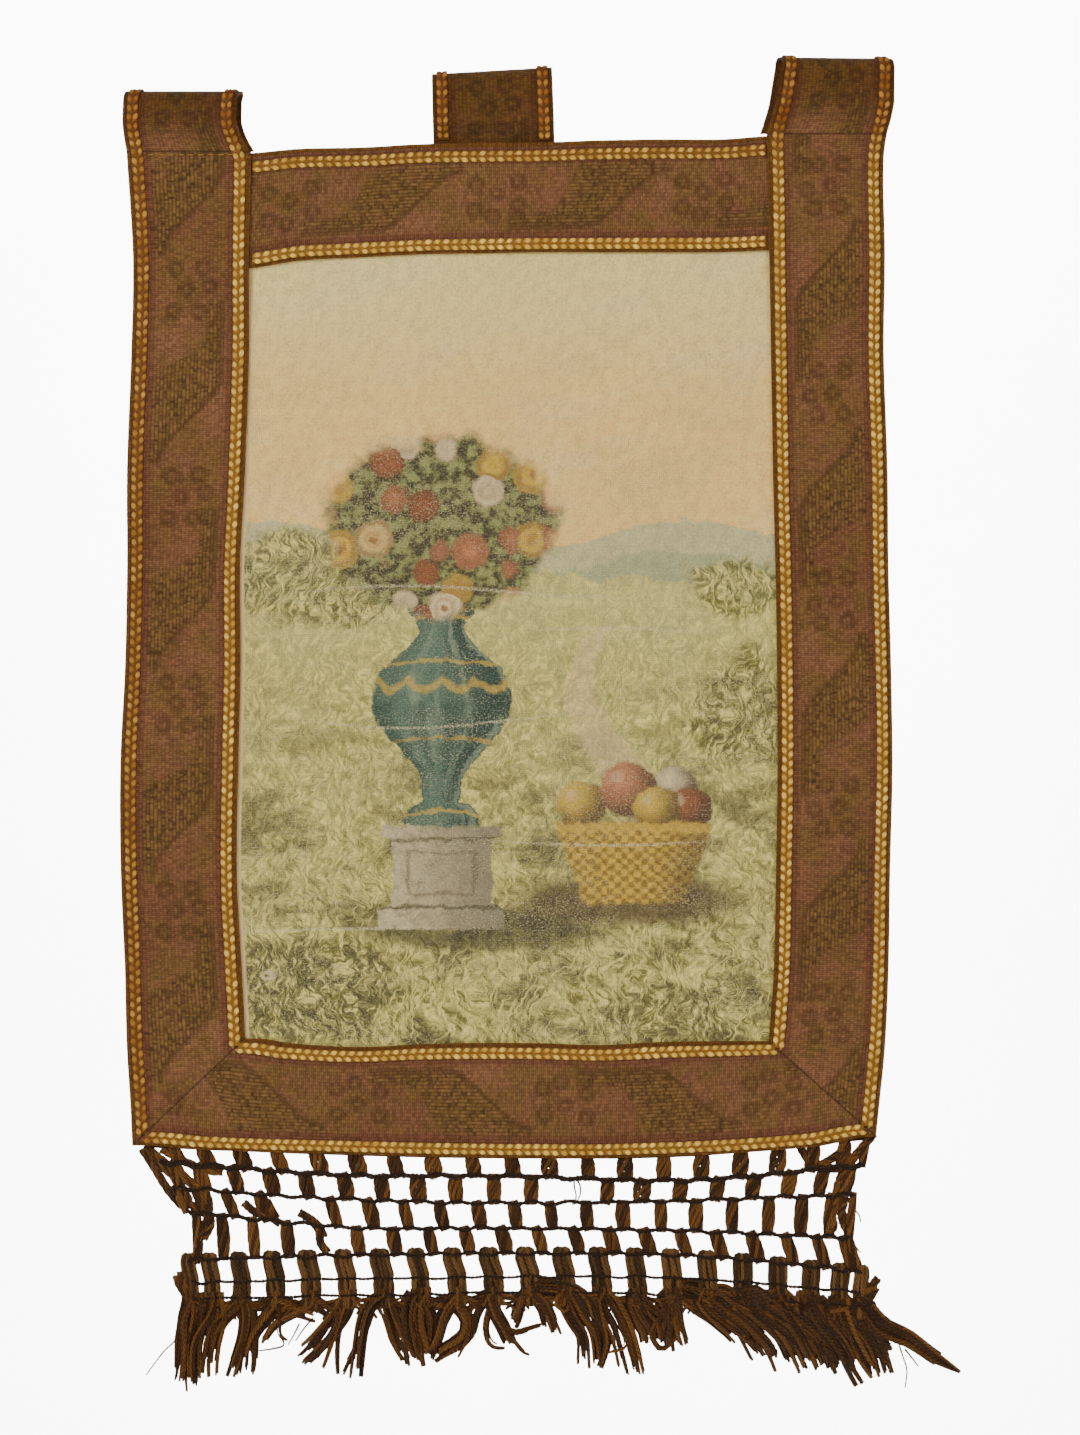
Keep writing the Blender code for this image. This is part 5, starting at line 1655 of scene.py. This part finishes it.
    def make_long_bundles(self):
        """Long bundles of straight yarns, looped over the last cord and tied by two threads."""
        yarns = Yarns()
        radius = self.sizes.loose_yarn / MM / 2
        count = self.sizes.loose
        rim = round(count * 0.72)
        for number, place in enumerate(row_places(5)):
            narrowing = 1.0 - 0.2 * abs(place) ** END_CROWDING_POWER
            half_w = LONG_BUNDLE_WIDTH / 2 * narrowing * self.noise.uniform(1.26, 1.42) - radius
            half_d = LONG_BUNDLE_DEPTH / 2 - radius
            head = self.bundle_foot(number, NET_BARS[-1])
            feet = [self.bundle_foot(number, line) for line in NET_THREADS]
            up = Vector((0.0, 0.0, 1.0))
            spots = [
                (head + up * 3.0, 0.35), (head + up * 2.2, 0.80), (head + up * 0.4, 0.98),
                (head - up * 3.0, 1.00), (feet[0] + up * 2.0, 1.0), (feet[0], 0.90),
                (feet[0] - up * 2.0, 1.0), (feet[1] + up * 1.2, 0.98), (feet[1], 0.90),
                (feet[1] - up * 3.0, 1.0), (feet[1] - up * 7.0, 0.9),
            ]
            turn = self.noise.uniform(-0.5, 0.5)
            for n in range(count):
                outer = n < rim
                angle = math.tau * n / rim if outer else 2.4 * n
                reach = 1.0 if outer else 0.55
                sway = self.noise.uniform(-0.3, 0.3)
                points = []
                for k, (at, spread) in enumerate(spots):
                    a = angle + turn * k / len(spots) + sway * math.sin(k * 0.9 + n)
                    points.append(at + Vector((
                        math.cos(a) * half_w * spread * reach,
                        math.sin(a) * half_d * spread * reach,
                        0.0,
                    )))
                yarns.strand(smooth_path(points, 14), radius, self.noise.uniform(0.0, 1.0))
            for way in (-0.5, 0.0, 0.5):
                core = [at + Vector((way * half_w, 0.0, -0.6)) for at, _ in spots[1:]]
                yarns.strand(smooth_path(core, 10), 1.3, 0.0)
        return yarns.build("fringe_bundles")

    def make_locks(self):
        """Loose locks, tangles and stray yarns below the last thread."""
        yarns = Yarns()
        for lock in LOCKS:
            foot = self.bundle_foot(lock.bundle, NET_THREADS[1])
            route = [foot + Vector((0.0, 0.0, 3.0)), foot - Vector((0.0, 0.0, 1.5))]
            route += [
                Vector((x, net_middle(x, -drop) + lock.back * 0.8, -drop))
                for x, drop in lock.course
            ]
            self.lay_lock(yarns, smooth_path(route, 16), lock)
        for number in range(BUNDLES):
            foot = self.bundle_foot(number, NET_THREADS[1])
            for n in range(12):
                self.lay_tangle(yarns, foot, number)
        for course in WISPS:
            path = self.course_path(course, self.noise.uniform(-1.0, 1.0), 14)
            yarns.strand(path, lambda t: 0.75 * (1.0 - 0.3 * t), 0.1, sides=4)
        return yarns.build("fringe_locks")

    def lay_lock(self, yarns, path, lock):
        """Strands that keep together in clumps along a course and end unevenly."""
        pick = self.noise
        width = lock.width * (MATTED_PLUMPNESS if lock.bundle >= MATTED_FROM else LOCK_PLUMPNESS)
        thick = min(width * 0.45, 4.8)
        count = math.ceil(width * thick * 0.30)
        clumps = max(1, round(count / 4))
        last = len(path) - 1
        pointed = lock is POINTED_LOCK
        if pointed:
            width = lock.width * 1.5
        sides = []
        for k in range(last + 1):
            ahead = path[min(k + 1, last)] - path[max(k - 1, 0)]
            sides.append(Vector((-ahead.z, 0.0, ahead.x)).normalized())
        for clump in range(clumps):
            out = math.sqrt((clump + 0.5) / clumps) * (1.0 if clumps > 1 else 0.0)
            turn = 2.39996 * clump + pick.uniform(-0.3, 0.3)
            across = out * math.cos(turn)
            deep = out * math.sin(turn)
            reach = 1.0 if pointed else pick.uniform(0.88, 1.04)
            seed = pick.uniform(0.0, 50.0)
            for n in range(clump, count, clumps):
                own = pick.uniform(0.0, math.tau)
                own_seed = pick.uniform(0.0, 50.0)
                own_reach = reach * pick.uniform(0.93, 1.0)
                points = []
                for k in range(last + 1):
                    t = k / last * min(own_reach, 1.0)
                    step = min(int(t * last), last - 1)
                    at = path[step].lerp(path[step + 1], t * last - step)
                    side = sides[step]
                    if pointed:
                        spread = lerp(0.7, 1.1, smooth_step(t / 0.35)) * (1.0 - 0.95 * t ** 2.4)
                    else:
                        spread = lerp(0.75, 1.0, smooth_step(t / 0.3)) * (1.0 + 0.2 * t * t)
                    stray = 0.2 if pointed else 0.9
                    drift = noise.noise_vector(Vector((seed, t * 2.2, 0.0))) * (stray * (0.3 + t))
                    drift += noise.noise_vector(Vector((own_seed, t * 5.0, 7.0))) * (0.35 * stray)
                    apart = (1.15 - 0.55 * t) * (spread if pointed else 1.0)
                    points.append(
                        at + side * (across * width * 0.38 * spread + math.cos(own) * apart)
                        + Vector((0.0, deep * thick * 0.38 * spread + math.sin(own) * apart, 0.0))
                        + drift
                    )
                yarns.strand(
                    points, lambda t: 1.05 * (1.0 - 0.2 * t ** 6), pick.uniform(0.0, 0.8), sides=4
                )
        for way in (-0.22, 0.22):
            core = [
                at + sides[k] * (way * width) + Vector((0.0, 0.4, 0.0))
                for k, at in enumerate(path[: round(last * 0.85)])
            ]
            yarns.strand(core, lambda t: thick * 0.40 * (1.0 - 0.5 * t), 0.0)

    def lay_tangle(self, yarns, foot, number):
        """A yarn that leaves its bundle sideways and tangles with the next one."""
        pick = self.noise
        way = pick.choice((-1.0, 1.0))
        if number in (0, BUNDLES - 1):
            way = 1.0 if number == 0 else -1.0
        sink = pick.uniform(0.0, 5.0)
        reach = pick.uniform(10.0, 20.0)
        back = pick.uniform(-1.6, 1.6)
        route = [
            foot + Vector((way * 1.0, back * 0.5, 1.0)),
            foot + Vector((way * 3.5, back, -1.0 - sink * 0.3)),
            foot + Vector((way * reach * 0.45, back, -1.5 - sink)),
            foot + Vector((way * reach * 0.75, -back, -2.5 - sink)),
            foot + Vector((way * reach, back * 0.5, -4.0 - sink + pick.uniform(-5.0, 3.0))),
        ]
        yarns.strand(smooth_path(route, 12), 0.95, pick.uniform(0.0, 0.8), sides=4)


class TAPESTRY_OT_stage(bpy.types.Operator):
    """Set the pale floor and backdrop, the soft lights and the camera"""

    bl_idname = "tapestry.stage"
    bl_label = "Stage"

    def execute(self, context):
        middle = Vector((17.2 * MM, 0.0, -319.5 * MM))
        clear_selection()
        bpy.ops.mesh.primitive_plane_add(size=1.0)
        sweep = context.active_object
        sweep.name = "backdrop"
        bpy.ops.object.mode_set(mode="EDIT")
        bpy.ops.mesh.select_all(action="SELECT")
        bpy.ops.transform.resize(value=(18.0, 15.0, 1.0))
        bpy.ops.transform.translate(value=(0.0, 0.0, -1.6))
        bpy.ops.object.mode_set(mode="OBJECT")
        back = max(corner.co.y for corner in sweep.data.vertices)
        for part in (sweep.data.vertices, sweep.data.edges, sweep.data.polygons):
            part.foreach_set("select", [False] * len(part))
        for corner in sweep.data.vertices:
            corner.select = corner.co.y > back - 0.01
        bpy.ops.object.mode_set(mode="EDIT")
        bpy.ops.mesh.select_mode(type="VERT")
        bpy.ops.mesh.extrude_region_move(TRANSFORM_OT_translate={"value": (0.0, 0.0, 6.0)})
        bpy.ops.object.mode_set(mode="OBJECT")
        bpy.ops.object.modifier_add(type="BEVEL")
        sweep.modifiers[-1].width = 1.0
        sweep.modifiers[-1].segments = 16
        bpy.ops.object.modifier_apply(modifier=sweep.modifiers[-1].name)
        bpy.ops.object.shade_smooth()
        recipe = Recipe("backdrop_paper", 0.95)
        grain = recipe.noise(recipe.place(), 3.0, 2.0)
        paper = recipe.mix(grain, (0.93, 0.93, 0.93), (0.96, 0.96, 0.96))
        sweep.data.materials.append(recipe.finish(paper))

        wall = Vector((0.0, back, middle.z))
        for name, place, aim, size, energy in (
            ("key_light", (-1.3, -2.0, 1.3), middle, 1.2, 35.0),
            ("fill_light", (1.7, -2.6, 0.2), middle, 2.2, 17.0),
            ("wall_light_high", (0.0, 4.6, 3.0), wall, 3.4, 1400.0),
            ("wall_light_low", (0.0, 4.8, -1.1), wall, 3.4, 760.0),
        ):
            data = bpy.data.lights.new(name, "AREA")
            data.energy = energy
            data.size = size
            light = bpy.data.objects.new(name, data)
            light.location = middle + Vector(place)
            light.rotation_euler = (aim - light.location).to_track_quat("-Z", "Y").to_euler()
            light.visible_camera = False
            context.scene.collection.objects.link(light)
        world = context.scene.world or bpy.data.worlds.new("studio")
        context.scene.world = world
        world.use_nodes = True
        air = world.node_tree.nodes["Background"]
        air.inputs["Color"].default_value = (1.0, 1.0, 1.0, 1.0)
        air.inputs["Strength"].default_value = 0.4

        distance = 3.0
        data = bpy.data.cameras.new("camera")
        data.lens = 36.0 * distance / 0.7462
        data.sensor_width = 36.0
        data.clip_end = 50.0
        camera = bpy.data.objects.new("camera", data)
        camera.location = middle - Vector((0.0, distance, 0.0))
        camera.rotation_euler = (math.radians(90.0), 0.0, 0.0)
        context.scene.collection.objects.link(camera)
        context.scene.camera = camera
        return {"FINISHED"}


class TAPESTRY_PT_panel(bpy.types.Panel):
    """Tapestry pieces and their settings"""

    bl_label = "Tapestry"
    bl_space_type = "VIEW_3D"
    bl_region_type = "UI"
    bl_category = "Tapestry"

    def draw(self, context):
        for group in ("tapestry_cloth", "tapestry_braid", "tapestry_yarn", "tapestry_colours"):
            settings = getattr(context.scene, group)
            box = self.layout.box()
            for name in settings.__annotations__:
                box.prop(settings, name)
        for step in STEPS:
            self.layout.operator(step.bl_idname)


SETTINGS = {
    "tapestry_cloth": TapestryCloth,
    "tapestry_braid": TapestryBraid,
    "tapestry_yarn": TapestryYarn,
    "tapestry_colours": TapestryColours,
}
STEPS = (
    TAPESTRY_OT_picture,
    TAPESTRY_OT_border,
    TAPESTRY_OT_loops,
    TAPESTRY_OT_braid,
    TAPESTRY_OT_fringe,
    TAPESTRY_OT_stage,
)


def register():
    for group in (*SETTINGS.values(), *STEPS, TAPESTRY_PT_panel):
        bpy.utils.register_class(group)
    for name, group in SETTINGS.items():
        setattr(bpy.types.Scene, name, bpy.props.PointerProperty(type=group))


def unregister():
    for name in SETTINGS:
        delattr(bpy.types.Scene, name)
    for group in (TAPESTRY_PT_panel, *reversed(STEPS), *reversed(list(SETTINGS.values()))):
        bpy.utils.unregister_class(group)


def main():
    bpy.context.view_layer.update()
    register()
    clear_selection()
    bpy.ops.tapestry.picture()
    bpy.ops.tapestry.border()
    bpy.ops.tapestry.loops()
    bpy.ops.tapestry.braid()
    bpy.ops.tapestry.fringe()
    bpy.ops.tapestry.stage()


if __name__ == "__main__":
    main()
